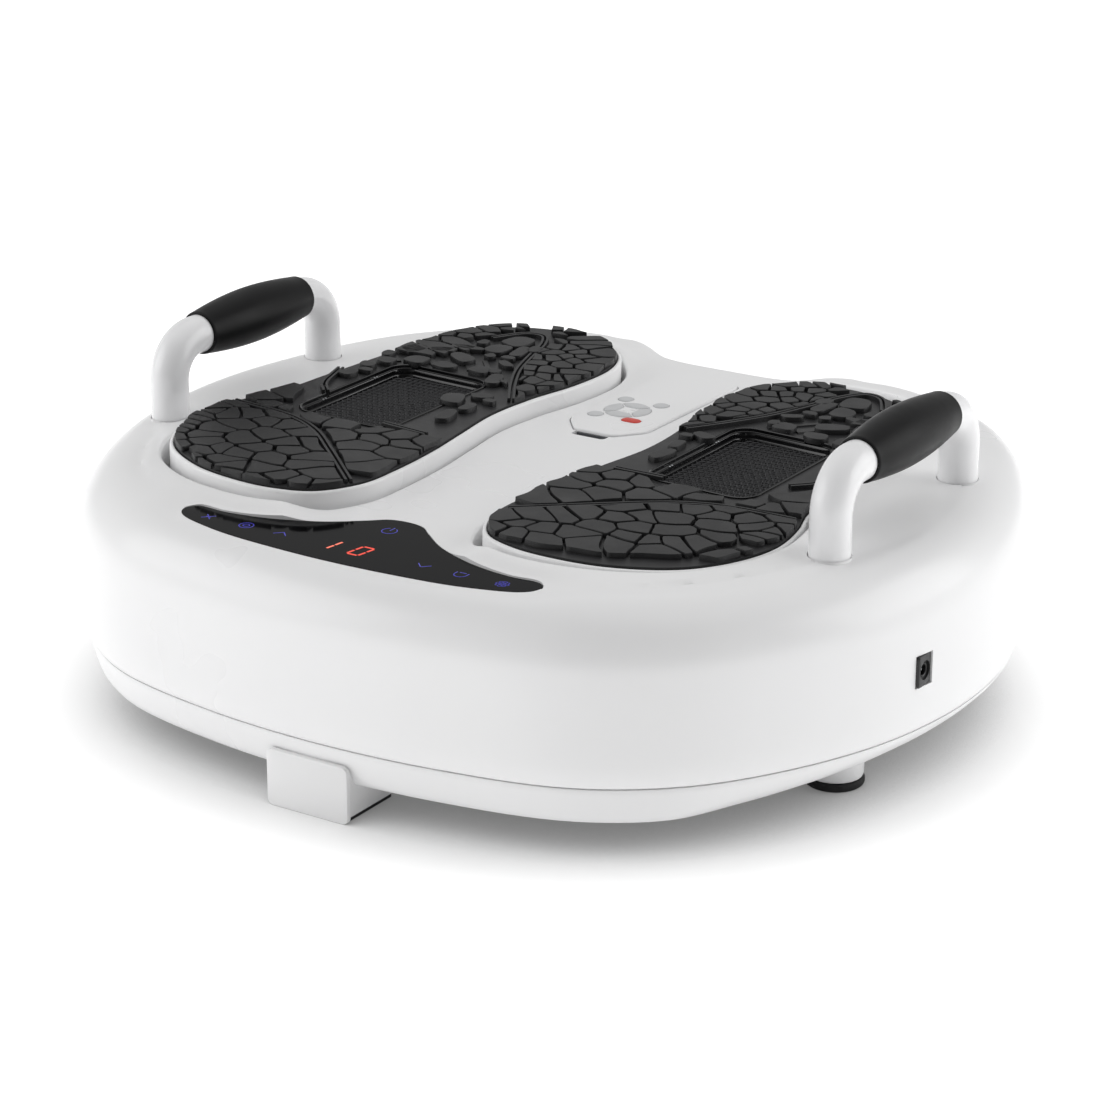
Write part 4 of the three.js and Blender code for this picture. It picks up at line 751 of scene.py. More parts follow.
def triangulated(outer, holes, extra):
    """Triangles that fill the outer loop outside the holes, through the extra points."""
    spots = [tuple(p) for p in outer]
    edges = [(i, (i + 1) % len(outer)) for i in range(len(outer))]
    for hole in holes:
        first = len(spots)
        spots += [tuple(p) for p in hole]
        edges += [(first + i, first + (i + 1) % len(hole)) for i in range(len(hole))]
    spots += [tuple(p) for p in extra]
    found = delaunay_2d_cdt([Vector(p) for p in spots], edges, [], 0, 1e-5)
    made = np.array([tuple(v) for v in found[0]])
    corners = np.array([f for f in found[2] if len(f) == 3])
    middles = made[corners].mean(1)
    keep = inside(middles, outer)
    for hole in holes:
        keep &= ~inside(middles, hole)
    corners = corners[keep]
    a, b, c = (made[corners[:, i]] for i in range(3))
    turn = (b[:, 0] - a[:, 0]) * (c[:, 1] - a[:, 1]) - (c[:, 0] - a[:, 0]) * (b[:, 1] - a[:, 1])
    corners[turn < 0] = corners[turn < 0][:, ::-1]
    return made, corners[np.abs(turn) > 1e-7], [list(o) for o in found[3]]


def nearest_gap(points, others):
    """The distance from each point to the nearest of the others."""
    return np.array([np.min(np.linalg.norm(others - p, axis=1)) for p in points])


def spread_points(outer, holes):
    """Points over the top: rings round each hole and a grid elsewhere, none too close to an edge."""
    chosen = []
    taken = np.empty((0, 2))
    for name, hole in holes.items():
        earlier = taken
        for distance in RINGS_ROUND_HOLE[hole_kind(name)]:
            ring = grow(counterclockwise(hole), distance)
            keep = inside(ring, outer) & (distance_to(ring, outer) > ROOM_AT_RIM)
            for other, loop in holes.items():
                if other != name:
                    keep &= ~inside(ring, loop) & (distance_to(ring, loop) > ROOM_AT_HOLE)
            keep &= distance_to(ring, counterclockwise(hole)) > distance * RING_SHARE
            ring = ring[keep]
            if len(earlier) and len(ring):
                ring = ring[nearest_gap(ring, earlier) > ROOM_AT_HOLE]
            chosen.append(ring)
            taken = np.vstack([taken, ring])
    xs = np.arange(-BODY_WIDTH / 2, BODY_WIDTH / 2, TOP_GRID_MM)
    ys = np.arange(-BODY_DEPTH / 2, BODY_DEPTH / 2, TOP_GRID_MM * ROW_SHARE)
    grid = np.array([(x + (row % 2) * TOP_GRID_MM / 2, y) for row, y in enumerate(ys) for x in xs])
    grid = grid[inside(grid, outer)]
    grid = grid[distance_to(grid, outer) > GRID_ROOM]
    for loop in holes.values():
        grid = grid[~inside(grid, loop)]
        grid = grid[distance_to(grid, loop) > GRID_ROOM]
    chosen.append(grid[nearest_gap(grid, taken) > TOP_GRID_MM * GRID_SHARE])
    return np.vstack(chosen)


def open_pocket(shape, lower, upper):
    """Takes the wall away in front of the power inlet and walls the pocket in."""
    held = [i for i in range(BODY_POINTS) if body_outline[i][0] > 0
            and POCKET_Y[0] - HAIR <= body_outline[i][1] <= POCKET_Y[1] + HAIR]
    gone = {(lower[i], lower[i + 1], upper[i + 1], upper[i]) for i in held[:-1]}
    shape.faces = [face for face in shape.faces if face not in gone]
    mouth = [lower[i] for i in held] + [upper[i] for i in reversed(held)]
    back = shape.space_ring([(INLET_HIGH[0] - POCKET_DEPTH, *shape.points[i][1:]) for i in mouth])
    shape.band(mouth, back)
    print("pocket corners", len(mouth))


def top_shell():
    shape = Shape()
    wall = edge_rings()
    rings = [shape.ring(spots, z) for spots, z in wall]
    shape.bands(rings)
    open_pocket(shape, *rings[len(SEAM_RINGS) : len(SEAM_RINGS) + 2])
    outer = wall[-1][0]
    holes = {name: counterclockwise(loop) for name, loop in HOLES.items()}
    made, corners, origins = triangulated(outer, list(holes.values()), spread_points(outer, holes))
    heights = top_height(made)
    number = {}
    for index, (spot, origin) in enumerate(zip(made, origins)):
        first = min(origin) if origin else None
        if first is not None and first < len(outer):
            number[index] = rings[-1][first]
        else:
            number[index] = len(shape.points)
            shape.points.append((spot[0], spot[1], heights[index]))
    rim_z = np.array([shape.points[i][2] for i in rings[-1]])
    shape.faces += [tuple(number[i] for i in corner) for corner in corners]
    start = len(outer)
    where = {}
    for index, origin in enumerate(origins):
        for source in origin:
            where.setdefault(source, number[index])
    for name, hole in holes.items():
        top = [where[start + i] for i in range(len(hole))]
        start += len(hole)
        floor = HOLE_FLOOR[hole_kind(name)]
        lower = shape.ring(hole, floor + WALL_FOOT)
        base = shape.ring(hole, floor)
        shape.bands([top, lower, base])
        if name == "pocket":
            shape.cap(base, True)
    print("top skin points", len(shape.points), "rim from", round(rim_z.min(), 1), "to", round(rim_z.max(), 1))
    return shape


shell = top_shell().piece("upper_body_shell", white_abs, "body", "white_abs", ("top_shell",), crease=40)
print("shell faces", len(shell.data.polygons))

# %% [markdown]
# The tray closes the body from below. It follows the same outline a few millimetres in, and its flanks sweep
# in under the sides, so the body seems to float. A narrow shadow gap marks the seam.

# %% Bottom tray
# Height above the tray's bottom, inset, and how much further in the sides are.
TRAY_PROFILE = [
    (0, 16.5, 30), (0.4, 13.2, 28.6), (1.6, 10.4, 27.2), (3.6, 8.8, 22.5), (6, 7.4, 17.5), (9, 6.3, 12.4),
    (12.5, 5.3, 8), (16, 4.6, 4.6), (19.5, 4.0, 1.8), (22.4, 3.6, 0.2), (23.3, 3.9, 0),
]


# Insets and heights of the lip that stands up inside the shell.
TRAY_LIP = [(5.3, 43.4), (5.3, 47.5), (9.5, 47.5), (9.5, 43.3)]
TRAY_WALL = 3
FLANK_FROM = 0.6


def tray_ring(inset, flank):
    """The outline moved in by an inset, and further in where it faces the sides."""
    normals = outward(body_outline)
    share = np.clip((np.abs(normals[:, 0]) - FLANK_FROM) / (1 - FLANK_FROM), 0, None) ** 2
    return body_outline - normals * (inset + flank * share)[:, None]


def bottom_tray():
    shape = Shape()
    rings = [shape.ring(tray_ring(inset, flank), TRAY_BOTTOM + rise) for rise, inset, flank in TRAY_PROFILE]
    shape.bands(rings)
    lip = [shape.ring(tray_ring(inset, 0), z) for inset, z in TRAY_LIP]
    shape.bands([rings[-1]] + lip)
    inner = [shape.ring(tray_ring(inset + TRAY_WALL, flank), TRAY_BOTTOM + max(rise, TRAY_WALL))
             for rise, inset, flank in reversed(TRAY_PROFILE[3:-1])]
    shape.bands([lip[-1]] + inner)
    shape.cap(inner[-1], True)
    shape.cap(rings[0], False)
    return shape


tray = bottom_tray().piece("lower_body_tray", white_abs, "body", "white_abs", ("bottom_tray",), crease=40)
print("tray faces", len(tray.data.polygons))

# %% [markdown]
# Each foot plate is a white moulding whose rounded rim frames the rubber sole. Its skirt hangs into the well.
# Plate, sole, window and mesh are drawn level and then tilted to the rocker's parked position.

# %% Foot plates
WINDOW_SIZE = (73, 117)
WINDOW_RADIUS = 14
WINDOW_X = 119.5
PLATE_TOP = 148.6
PLATE_UNDER = 144.6
SKIRT_BOTTOM = 124
SOLE_INSET = 0.4
# Distances outside the sole and heights of the rim, from the foot of the skirt over the crest to the sole.
RIM_PROFILE = [(PLATE_RIM, SKIRT_BOTTOM), (PLATE_RIM, 149.4), (2.85, 150.3), (2.4, 151), (1.7, 151.4),
               (1.1, 151.35), (0.6, 150.9), (SOLE_INSET, 150.2), (SOLE_INSET, PLATE_TOP)]


def window_centre(side):
    """The middle of a window; both lie a little to the left, and the right one sits further back."""
    return side * WINDOW_X - 4, 21 + 9 * side


def window_loop(side, inset):
    return rounded_box(WINDOW_SIZE[0] - 2 * inset, WINDOW_SIZE[1] - 2 * inset, WINDOW_RADIUS - min(inset, 11),
                       *window_centre(side))


def foot_plate(side):
    shape = Shape()
    loop = on_side(sole_outline, side)
    rings = [shape.ring(grow(loop, out), z) for out, z in RIM_PROFILE]
    shape.bands(rings)
    outer = grow(loop, SOLE_INSET)
    window = window_loop(side, -SOLE_INSET)
    rim, edge = shape.sheet(outer, [window], PLATE_TOP)
    shape.band(rings[-1], rim)
    under, under_edge = shape.sheet(outer, [window], PLATE_UNDER, up=False)
    shape.band(under_edge, edge)
    inner = shape.ring(loop, SKIRT_BOTTOM)
    shape.band(inner, rings[0])
    shape.band(under, inner)
    return shape


for side_name, side in SIDES:
    plate = foot_plate(side).piece(f"{side_name}_foot_plate_moulding", white_abs, "rocker", "white_abs",
                                   (f"{side_name}_foot_plate",), tilt=True)
    print(plate.name, "faces", len(plate.data.polygons))

# %% [markdown]
# The soles look like hiking-boot tread. Ahead of a long double rib the lands are bark-like cells, behind it
# stand loose pebbles round the mesh window, and the heel has small cells inside and larger ones outside. Each
# land is a polygon cut from a Voronoi diagram of listed centres, shrunk by half a groove, rounded and
# extruded. That keeps every edge crisp, where a height map would smear it.

# %% Tread layout
# Centres are (distance from the machine's middle, y) in millimetres, on a sole that lies half way between the
# two; the right sole's pattern sits further back than the left one's.
PATTERN_SHIFT = 7.5
TOE_CENTRES = [
    (138, -69), (167, -67), (190, -76), (163, -85), (133, -89), (192, -86), (191, -94), (104, -89),
    (144, -108), (171, -101), (190, -102), (188, -109), (90, -112), (109, -107), (167, -114), (186, -117),
    (155, -124), (107, -125), (130, -128), (180, -127), (102, -142), (70, -131), (130, -143), (150, -138),
    (170, -137), (70, -148), (92, -158), (115, -159), (137, -155), (160, -149), (57, -143), (75, -160),
    (122, -77), (118, -98), (152, -72), (179, -75), (125, -115), (84, -121), (143, -128), (118, -150),
    (84, -148), (148, -152), (62, -158), (100, -170), (128, -170), (174, -147), (196, -70),
]
ARCH_CENTRES = [
    (101, -66), (132, -53), (79, -77), (66, -91), (60, -57), (72, -50), (91, -46), (57, -74), (112, -50),
    (156, -44), (171, -44), (189, -52), (177, -17), (184, -36), (152, -60), (52, -100), (52, -48),
    (78, -62),
]
HEEL_INNER_CENTRES = [
    (62, 74), (51, 69), (67, 91), (55, 91), (71, 113), (57, 104), (57, 120), (71, 129), (84, 109),
    (87, 122), (81, 99), (76, 143), (68, 140), (89, 147), (76, 158), (86, 162), (56, 135), (59, 150),
    (67, 164), (73, 76), (61, 62), (93, 133), (95, 160), (100, 172), (84, 176), (64, 102), (79, 88),
    (50, 108), (52, 124), (83, 136), (97, 148), (106, 182), (92, 184), (78, 169), (66, 152), (48, 82),
]
HEEL_OUTER_CENTRES = [
    (160, 132), (155, 143), (146, 151), (150, 166), (130, 180), (141, 173), (112, 184), (167, 117),
    (170, 127), (174, 108), (160, 154), (120, 190), (150, 178), (166, 142), (135, 190), (102, 192),
]
# Loose pebbles: centre, width, length, turn in degrees.
PEBBLES = [
    (120, 154, 17, 23, 10), (122, 133, 16, 17, 0), (102, 146, 10, 12, 0), (107, 136, 10, 21, -8),
    (140, 124, 22, 8, -8), (150, 111, 18, 9, -22), (130, 104, 20, 13, 25), (166, 102, 14, 18, 20),
    (106, 89, 13, 14, 0), (130, 84, 15, 12, 12), (151, 83, 16, 14, 0), (88, 78, 11, 19, -18),
    (100, 109, 14, 7, 35), (106, 121, 9, 7, 0), (166, 71, 12, 12, 0), (155, 66, 9, 7, 20),
    (171, 57, 11, 10, 0), (165, 47, 9, 7, 0), (138, 140, 8, 9, 0), (118, 118, 8, 7, 30),
    (174, 84, 8, 11, 0), (75, 45, 15, 9, -25), (87, 31, 14, 20, -20), (89, 10, 16, 16, 0),
    (72, 2, 9, 22, -12), (70, 22, 8, 14, 5), (181, 8, 8, 15, 0), (171, 36, 10, 13, 10), (66, 40, 8, 7, 0),
    (97, 92, 8, 8, 20),
]
# Ribs: double ridges along a line, as (x, y) knots.
RIBS = [
    [(196, -50), (150, -54), (120, -67), (90, -92), (50, -128)],
    [(58, 52), (75, 80), (88, 106), (98, 136), (105, 160), (115, 176), (128, 173), (140, 153)],
    [(62, -34), (94, -32)],
    [(181, 42), (171, 12), (160, -2)],
]
# Low slanted bars on the floor of the heel: two ends and a width.
BARS = [
    ((137, 118), (90, 62), 7), ((156, 100), (112, 64), 6), ((171, 86), (146, 62), 6),
    ((118, 112), (96, 86), 4),
]
# Half the width of a groove: the least, and what the place adds.
GROOVE_HALF = (0.6, 0.75)
# How far a land may reach from its centre, across and along the sole, and how much longer it is across.
LAND_REACH = (24, 14)
LAND_STRETCH = 1.2
CLOSEST_CENTRES = 6.5
SMALLEST_LAND = 14
# The right sole keeps a plain band along its front outer edge; this is the band's inner edge.
BAND_EDGE = [(88, -160), (125, -154), (156, -138), (178, -115), (187, -100)]
BAND_WIDTH = 13
BAND_FRONT_OF = -118
BAND_OUTSIDE = 92
# How far lands keep from the middle of a rib, the window's frame and the plain band.
RIB_CLEAR, WINDOW_CLEAR, BAND_CLEAR = 3.1, 0.2, 0.3
FRAME_MARGIN = 3.2
EDGE_MARGIN = 0.2
LAND_STEP = 4.0
LAND_RADIUS = 1.3
SQUARISH = 0.72
WAVE_SEED = 0.7
# Bevels and draft of the lands, how deep they are sunk, and the double ribs: offset, width and lower top.
LAND_BEVEL, PEBBLE_BEVEL, LAND_DRAFT = 0.35, 0.4, 0.25
SUNK = 0.4
RIDGE_SUNK = 0.3
RIB_OFFSET, RIB_WIDTH, RIB_DROP = 1.5, 2.1, 0.5
BAR_RISE = 0.9
SOLE_TOP = 155.6
SOLE_FLOOR = 152.5
SOLE_BOTTOM = 148.9
print("lands", len(TOE_CENTRES) + len(ARCH_CENTRES) + len(HEEL_INNER_CENTRES) + len(HEEL_OUTER_CENTRES)
      + len(PEBBLES))


# %% Tread geometry
def clip(loop, spot, normal):
    """The part of a loop behind a line through spot, cut off ahead of it."""
    kept = []
    sides = [(p - spot) @ normal for p in loop]
    for index, (p, d) in enumerate(zip(loop, sides)):
        q, e = loop[index - 1], sides[index - 1]
        if (d > 0) != (e > 0):
            kept.append(q + (p - q) * (e / (e - d)))
        if d <= 0:
            kept.append(p)
    return kept


def soft_corners(loop, radius):
    """Rounds the corners of a loop that turn by more than a few degrees."""
    kept = [p for index, p in enumerate(loop) if np.linalg.norm(p - loop[index - 1]) > 0.5]
    if len(kept) < 3:
        return None
    result = []
    for index, p in enumerate(kept):
        before, after = kept[index - 1] - p, kept[(index + 1) % len(kept)] - p
        long_before, long_after = np.linalg.norm(before), np.linalg.norm(after)
        turn = math.acos(max(-1, min(1, float(before @ after) / (long_before * long_after))))
        if turn > math.radians(160):
            result.append(p)
            continue
        reach = min(radius, 0.35 * long_before, 0.35 * long_after)
        start, end = p + before / long_before * reach, p + after / long_after * reach
        result += [start, (start + 2 * p + end) / 4, end]
    return np.array(result)


def wavy(points, seed):
    """Small smooth shifts that keep land edges from being ruler-straight."""
    x, y = points[:, 0], points[:, 1]
    shift_x = 1.2 * np.sin(y / 5.3 + seed) + 0.6 * np.sin(x / 3.7 + 2 * seed)
    shift_y = 1.3 * np.sin(x / 5.9 + 1.3 * seed) + 0.5 * np.sin(y / 4.1 + seed)
    return points + np.column_stack([shift_x, shift_y])


def subdivided(loop, step):
    result = []
    for index, p in enumerate(loop):
        q = loop[(index + 1) % len(loop)]
        parts = max(1, int(np.linalg.norm(q - p) / step))
        result += [p + (q - p) * k / parts for k in range(parts)]
    return result


def rib_line(knots, step=2.0):
    """Evenly spaced points on a smooth open curve through the knots."""
    ends = [np.array(k, float) for k in knots]
    padded = [2 * ends[0] - ends[1]] + ends + [2 * ends[-1] - ends[-2]]
    line = []
    for p0, p1, p2, p3 in zip(padded, padded[1:], padded[2:], padded[3:]):
        parts = max(2, int(np.linalg.norm(p2 - p1) / step))
        for k in range(parts):
            t = k / parts
            line.append(0.5 * (2 * p1 + (p2 - p0) * t + (2 * p0 - 5 * p1 + 4 * p2 - p3) * t**2
                               + (3 * p1 - p0 - 3 * p2 + p3) * t**3))
    line.append(ends[-1])
    return np.array(line)


def shifted(points, side):
    return np.array(points, float) + (0, PATTERN_SHIFT * side)


def hashed(spot):
    """A steady number from 0 to 1 for a place."""
    return (math.sin(spot[0] * 12.9898 + spot[1] * 78.233) * 43758.5453) % 1


def cells(centres, barriers, outline):
    """Voronoi cells of the centres inside the outline, kept clear of each other and of the barrier lines."""
    made = []
    for index, centre in enumerate(centres):
        loop = list(outline)
        for x, y in ((LAND_REACH[0], 0), (-LAND_REACH[0], 0), (0, LAND_REACH[1]), (0, -LAND_REACH[1])):
            loop = clip(loop, centre + (x, y), np.sign((x, y)))
        for other, spot in enumerate(centres):
            if other != index and np.linalg.norm(spot - centre) < 3 * LAND_REACH[0]:
                away = (spot - centre) * (1 / LAND_STRETCH**2, 1)
                away = away / np.linalg.norm(away)
                middle = (spot + centre) / 2
                loop = clip(loop, middle - away * (GROOVE_HALF[0] + GROOVE_HALF[1] * hashed(middle)), away)
        for line, clear in barriers:
            along = np.gradient(line, axis=0)
            across = np.column_stack([-along[:, 1], along[:, 0]])
            across /= np.linalg.norm(across, axis=1)[:, None]
            gaps = np.linalg.norm(line - centre, axis=1)
            if gaps.min() > LAND_REACH[0]:
                continue
            for number in np.where(gaps < gaps.min() + 9)[0][::2]:
                away = across[number] * (1 if (line[number] - centre) @ across[number] > 0 else -1)
                loop = clip(loop, line[number] - away * clear, away)
        if len(loop) >= 3 and abs(area(np.array(loop))) > SMALLEST_LAND:
            made.append(loop)
    return made


def held_inside(loop, outline):
    """Pulls the points of a land that stick out back to the edge of the sole, and rounds its corners."""
    loop = np.array(loop)
    held = inside(loop, outline)
    if not held.any():
        return None
    fixed = [p if ok else outline[np.linalg.norm(outline - p, axis=1).argmin()] for p, ok in zip(loop, held)]
    rounded = soft_corners(fixed, LAND_RADIUS)
    if rounded is None or abs(area(rounded)) < SMALLEST_LAND:
        return None
    return counterclockwise(rounded)


def on_smooth_band(spot, outline):
    """Whether a place lies on the plain band at the front outer edge of the right sole."""
    if spot[1] >= BAND_FRONT_OF or spot[0] <= BAND_OUTSIDE:
        return False
    return distance_to(np.array([spot]), outline)[0] < BAND_WIDTH


def tread_shapes(side):
    """Every land of a sole as a loop, in the frame of the right-hand sole."""
    ribs = [shifted(rib_line(knots), side) for knots in RIBS]
    window = on_side(window_loop(side, -FRAME_MARGIN), side)
    outline = grow(sole_outline, -EDGE_MARGIN)
    barriers = [(rib, RIB_CLEAR) for rib in ribs] + [(respaced(window, 120), WINDOW_CLEAR)]
    if side > 0:
        barriers.append((rib_line(BAND_EDGE), BAND_CLEAR))
    spots = [p for centres in (TOE_CENTRES, ARCH_CENTRES, HEEL_INNER_CENTRES, HEEL_OUTER_CENTRES)
             for p in shifted(centres, side)]
    spots = [p for p in spots if not inside(np.array([p]), window)[0]]
    spots = [p for number, p in enumerate(spots)
             if all(np.linalg.norm(p - q) > CLOSEST_CENTRES for q in spots[:number])]
    if side > 0:
        spots = [p for p in spots if not on_smooth_band(p, outline)]
    loops = []
    for loop in cells(spots, barriers, outline):
        whole = held_inside(wavy(np.array(subdivided(loop, LAND_STEP)), WAVE_SEED), outline)
        if whole is not None:
            loops.append(whole)
    return loops, ribs, window


def pebble(x, y, width, length, turn, side):
    """A rounded pebble: a squarish oval with a small wobble of its own."""
    angles = np.arange(20) * 2 * math.pi / 20
    seed = x * 0.37 + y * 0.21
    radius = 1 + 0.07 * np.sin(2 * angles + seed) + 0.05 * np.sin(3 * angles + 2 * seed)
    round_loop = np.column_stack([np.cos(angles), np.sin(angles)])
    loop = np.sign(round_loop) * np.abs(round_loop) ** SQUARISH * (width / 2, length / 2)
    loop *= radius[:, None]
    rad = math.radians(turn)
    spin = np.array([[math.cos(rad), math.sin(rad)], [-math.sin(rad), math.cos(rad)]])
    return loop @ spin + (x, y + PATTERN_SHIFT * side)


def ridge(shape, line, offset, width, low, high):
    """A low ridge that runs along a line, set off sideways from it."""
    ahead = np.gradient(line, axis=0)
    ahead /= np.linalg.norm(ahead, axis=1)[:, None]
    across = np.column_stack([-ahead[:, 1], ahead[:, 0]])
    rows = []
    for share, z in ((-0.5, low), (-0.36, high), (0.36, high), (0.5, low)):
        spots = line + across * (offset + share * width)
        first = len(shape.points)
        shape.points += [(p[0], p[1], z) for p in spots]
        rows.append(range(first, first + len(spots)))
    for a, b in zip(rows, rows[1:]):
        shape.faces += [(a[i], a[i + 1], b[i + 1], b[i]) for i in range(len(line) - 1)]
    shape.faces += [tuple(r[0] for r in reversed(rows)), tuple(r[-1] for r in rows)]
    shape.faces += [(rows[3][i], rows[3][i + 1], rows[0][i + 1], rows[0][i]) for i in range(len(line) - 1)]


def sole(side):
    """One sole: a base with the window cut out, and the lands, ribs and bars on it."""
    shape = Shape()
    outline = sole_outline
    window = counterclockwise(on_side(window_loop(side, 0), side))
    base = shape.sheet(outline, [window], SOLE_BOTTOM, up=False)
    floor = shape.sheet(outline, [window], SOLE_FLOOR)
    shape.band(base[0], floor[0])
    shape.band(floor[1], base[1])
    loops, ribs, keep_out = tread_shapes(side)
    for loop in loops:
        shape.prism(loop, SOLE_FLOOR - SUNK, SOLE_TOP, bevel=LAND_BEVEL, draft=LAND_DRAFT)
    for x, y, width, length, turn in PEBBLES:
        loop = pebble(x, y, width, length, turn, side)
        if inside(loop, outline).all() and not inside(np.array([loop.mean(0)]), window)[0]:
            shape.prism(loop, SOLE_FLOOR - SUNK, SOLE_TOP, bevel=PEBBLE_BEVEL, draft=LAND_DRAFT)
    for rib in ribs:
        rib = rib[inside(rib, grow(outline, -1.2))]
        for offset in (-RIB_OFFSET, RIB_OFFSET):
            ridge(shape, rib, offset, RIB_WIDTH, SOLE_FLOOR - RIDGE_SUNK, SOLE_TOP - RIB_DROP)
    for start, end, width in BARS:
        line = shifted(np.linspace(start, end, 7), side)
        line = line[~inside(line, keep_out)]
        if len(line) > 1:
            ridge(shape, line, 0, width, SOLE_FLOOR - RIDGE_SUNK, SOLE_FLOOR + BAR_RISE)
    if side < 0:
        shape.points = [(-x, y, z) for x, y, z in shape.points]
        shape.faces = [tuple(reversed(f)) for f in shape.faces]
    return shape


for side_name, side in SIDES:
    tread = sole(side).piece(f"{side_name}_tread_sole", tread_rubber, "rocker", "black_rubber",
                             (f"{side_name}_sole",), crease=30, tilt=True)
    print(tread.name, "faces", len(tread.data.polygons))

# %% [markdown]
# Each window is a recess with a stepped gloss frame and a black mesh at its floor. The mesh is expanded metal:
# strands in two slanting directions that cross in small diamonds. It is real geometry, clipped to the frame.

# %% Windows and mesh
MESH_PITCH = (4.0, 5.4)
STRAND = 1.15
MESH_Z = SOLE_TOP - 9.6
MESH_INSET = 4.6
MESH_WAVE = 0.28
# Sideways offset as a share of the strand, and height, of a strand's four edges.
STRAND_SECTION = ((-0.5, 0.0), (0.0, 0.55), (0.5, 0.0), (0.0, -0.3))
# Insets and depths below the tread of the stepped frame.
FRAME_PROFILE = [
    (-0.1, 3.4), (0.1, 2.3), (0.8, 2.1), (1.5, 2.4), (1.7, 4.2), (2.1, 4.5), (3.1, 4.6), (3.3, 5.0),
    (3.5, 7.4), (4.4, 7.6), (4.7, 8.0), (4.8, 10.6), (0.2, 10.6), (-0.1, 10.0),
]
# Radius and depth of a screw head, its distance in from the frame's edge, and the places along the frame.
SCREW_PROFILE = [(0, 5), (0.75, 5), (0.75, 4.25), (0.5, 4.1), (0, 4.05)]
SCREW_INSET = 3.0
SCREW_PLACES = (-28.3, -25.7, 25.7, 28.3)


def window_frame(side):
    shape = Shape()
    rings = [shape.ring(window_loop(side, inset), SOLE_TOP - depth) for inset, depth in FRAME_PROFILE]
    shape.bands(rings + rings[:1])
    return shape


def clipped_segment(start, end, loop):
    """The part of a segment inside a convex counterclockwise loop, or nothing."""
    low, high = 0.0, 1.0
    along = end - start
    for a, b in zip(loop, np.roll(loop, -1, 0)):
        normal = np.array([b[1] - a[1], a[0] - b[0]])
        top, bottom = (a - start) @ normal, along @ normal
        if abs(bottom) < 1e-9:
            if top < 0:
                return None
        elif bottom > 0:
            high = min(high, top / bottom)
        else:
            low = max(low, top / bottom)
    return (start + along * low, start + along * high) if high > low else None


def mesh_strands(side):
    """Two families of slanting strands that rise and dip where they cross."""
    shape = Shape()
    loop = counterclockwise(window_loop(side, MESH_INSET))
    centre = loop.mean(0)
    for lean in (1, -1):
        direction = np.array([MESH_PITCH[0], lean * MESH_PITCH[1]])
        length = np.linalg.norm(direction)
        across = np.array([-direction[1], direction[0]]) / length
        spacing = MESH_PITCH[0] * MESH_PITCH[1] / length
        for row in range(-40, 41):
            middle = centre + across * row * spacing
            found = clipped_segment(middle - direction * 60, middle + direction * 60, loop)
            if found is None:
                continue
            start, end = found
            parts = max(2, int(np.linalg.norm(end - start) / (length / 4)))
            line = [start + (end - start) * k / parts for k in range(parts + 1)]
            rows = []
            for offset, lift in STRAND_SECTION:
                first = len(shape.points)
                for p in line:
                    turns = (p - start) @ direction / length**2 + (lean > 0) / 2
                    wave = MESH_WAVE * math.cos(2 * math.pi * turns)
                    spot = p + across * offset * STRAND
                    shape.points.append((spot[0], spot[1], MESH_Z + lift + wave))
                rows.append(range(first, first + len(line)))
            for a, b in zip(rows, rows[1:] + rows[:1]):
                shape.faces += [(a[i + 1], a[i], b[i], b[i + 1]) for i in range(len(line) - 1)]
            shape.faces += [tuple(r[0] for r in rows), tuple(r[-1] for r in reversed(rows))]
    return shape


def frame_screws(side):
    """Two pairs of small bright screw heads on the ledge at the left long side of the window."""
    shape = Shape()
    centre_x, centre_y = window_centre(side)
    edge = centre_x - (WINDOW_SIZE[0] / 2 - SCREW_INSET)
    for along in SCREW_PLACES:
        shape.turned([(radius, SOLE_TOP - depth) for radius, depth in SCREW_PROFILE], 16, "z",
                     (edge, centre_y + along, 0))
    return shape


for side_name, side in SIDES:
    window_frame(side).piece(f"{side_name}_window_bezel", black_gloss, "rocker", "black_gloss",
                             (f"{side_name}_window_frame",), tilt=True)
    strands = mesh_strands(side).piece(f"{side_name}_mesh", mesh_paint, "rocker", "black_abs", tilt=True,
                                       crease=60)
    frame_screws(side).piece(f"{side_name}_window_screws", steel, "rocker", "steel", tilt=True)
    print(strands.name, "faces", len(strands.data.polygons))

# %% [markdown]
# Handles are steel tube bent twice. A ring of points is carried along the centre line, which is made of a
# straight leg, an arc and a straight bar, so the bends are true arcs. The grips are barrel-shaped mouldings.

# %% Handles and grips
HANDLE_TOP = 192.2
HANDLE_BEND = 24
HANDLE_RADIUS = 11.8
LEG_HEIGHTS = (36.0, 120.0, 150.0)
BEND_STEPS = 16
GRIP_STEPS = 24
# Width of the barrel at its ends, what its middle adds, and how far the barrel stops short of the grip's ends.
GRIP_WIDTH, GRIP_SWELL, GRIP_END = 27, 8, 1.6
# Radius, and distance in from the end, of the rounded collar at each end of a grip.
GRIP_COLLAR = [(HANDLE_RADIUS + 0.05, 0), (12.6, 0), (13.3, 0.4), (13.62, 1.1)]


def handle_line():
    """Places and directions along a handle in its own upright plane, from the front foot to the back one."""
    stations = []
    for end in (-1, 1):
        foot_y = HANDLE_Y + end * HANDLE_HALF
        part = [((foot_y, z), (0, 1)) for z in LEG_HEIGHTS]
        for step in range(BEND_STEPS + 1):
            angle = math.pi / 2 * step / BEND_STEPS
            y = foot_y - end * HANDLE_BEND * (1 - math.cos(angle))
            z = HANDLE_TOP - HANDLE_BEND * (1 - math.sin(angle))
            part.append(((y, z), (-end * math.sin(angle), math.cos(angle))))
        stations += part if end < 0 else [(p, (-d[0], -d[1])) for p, d in reversed(part)]
    return stations


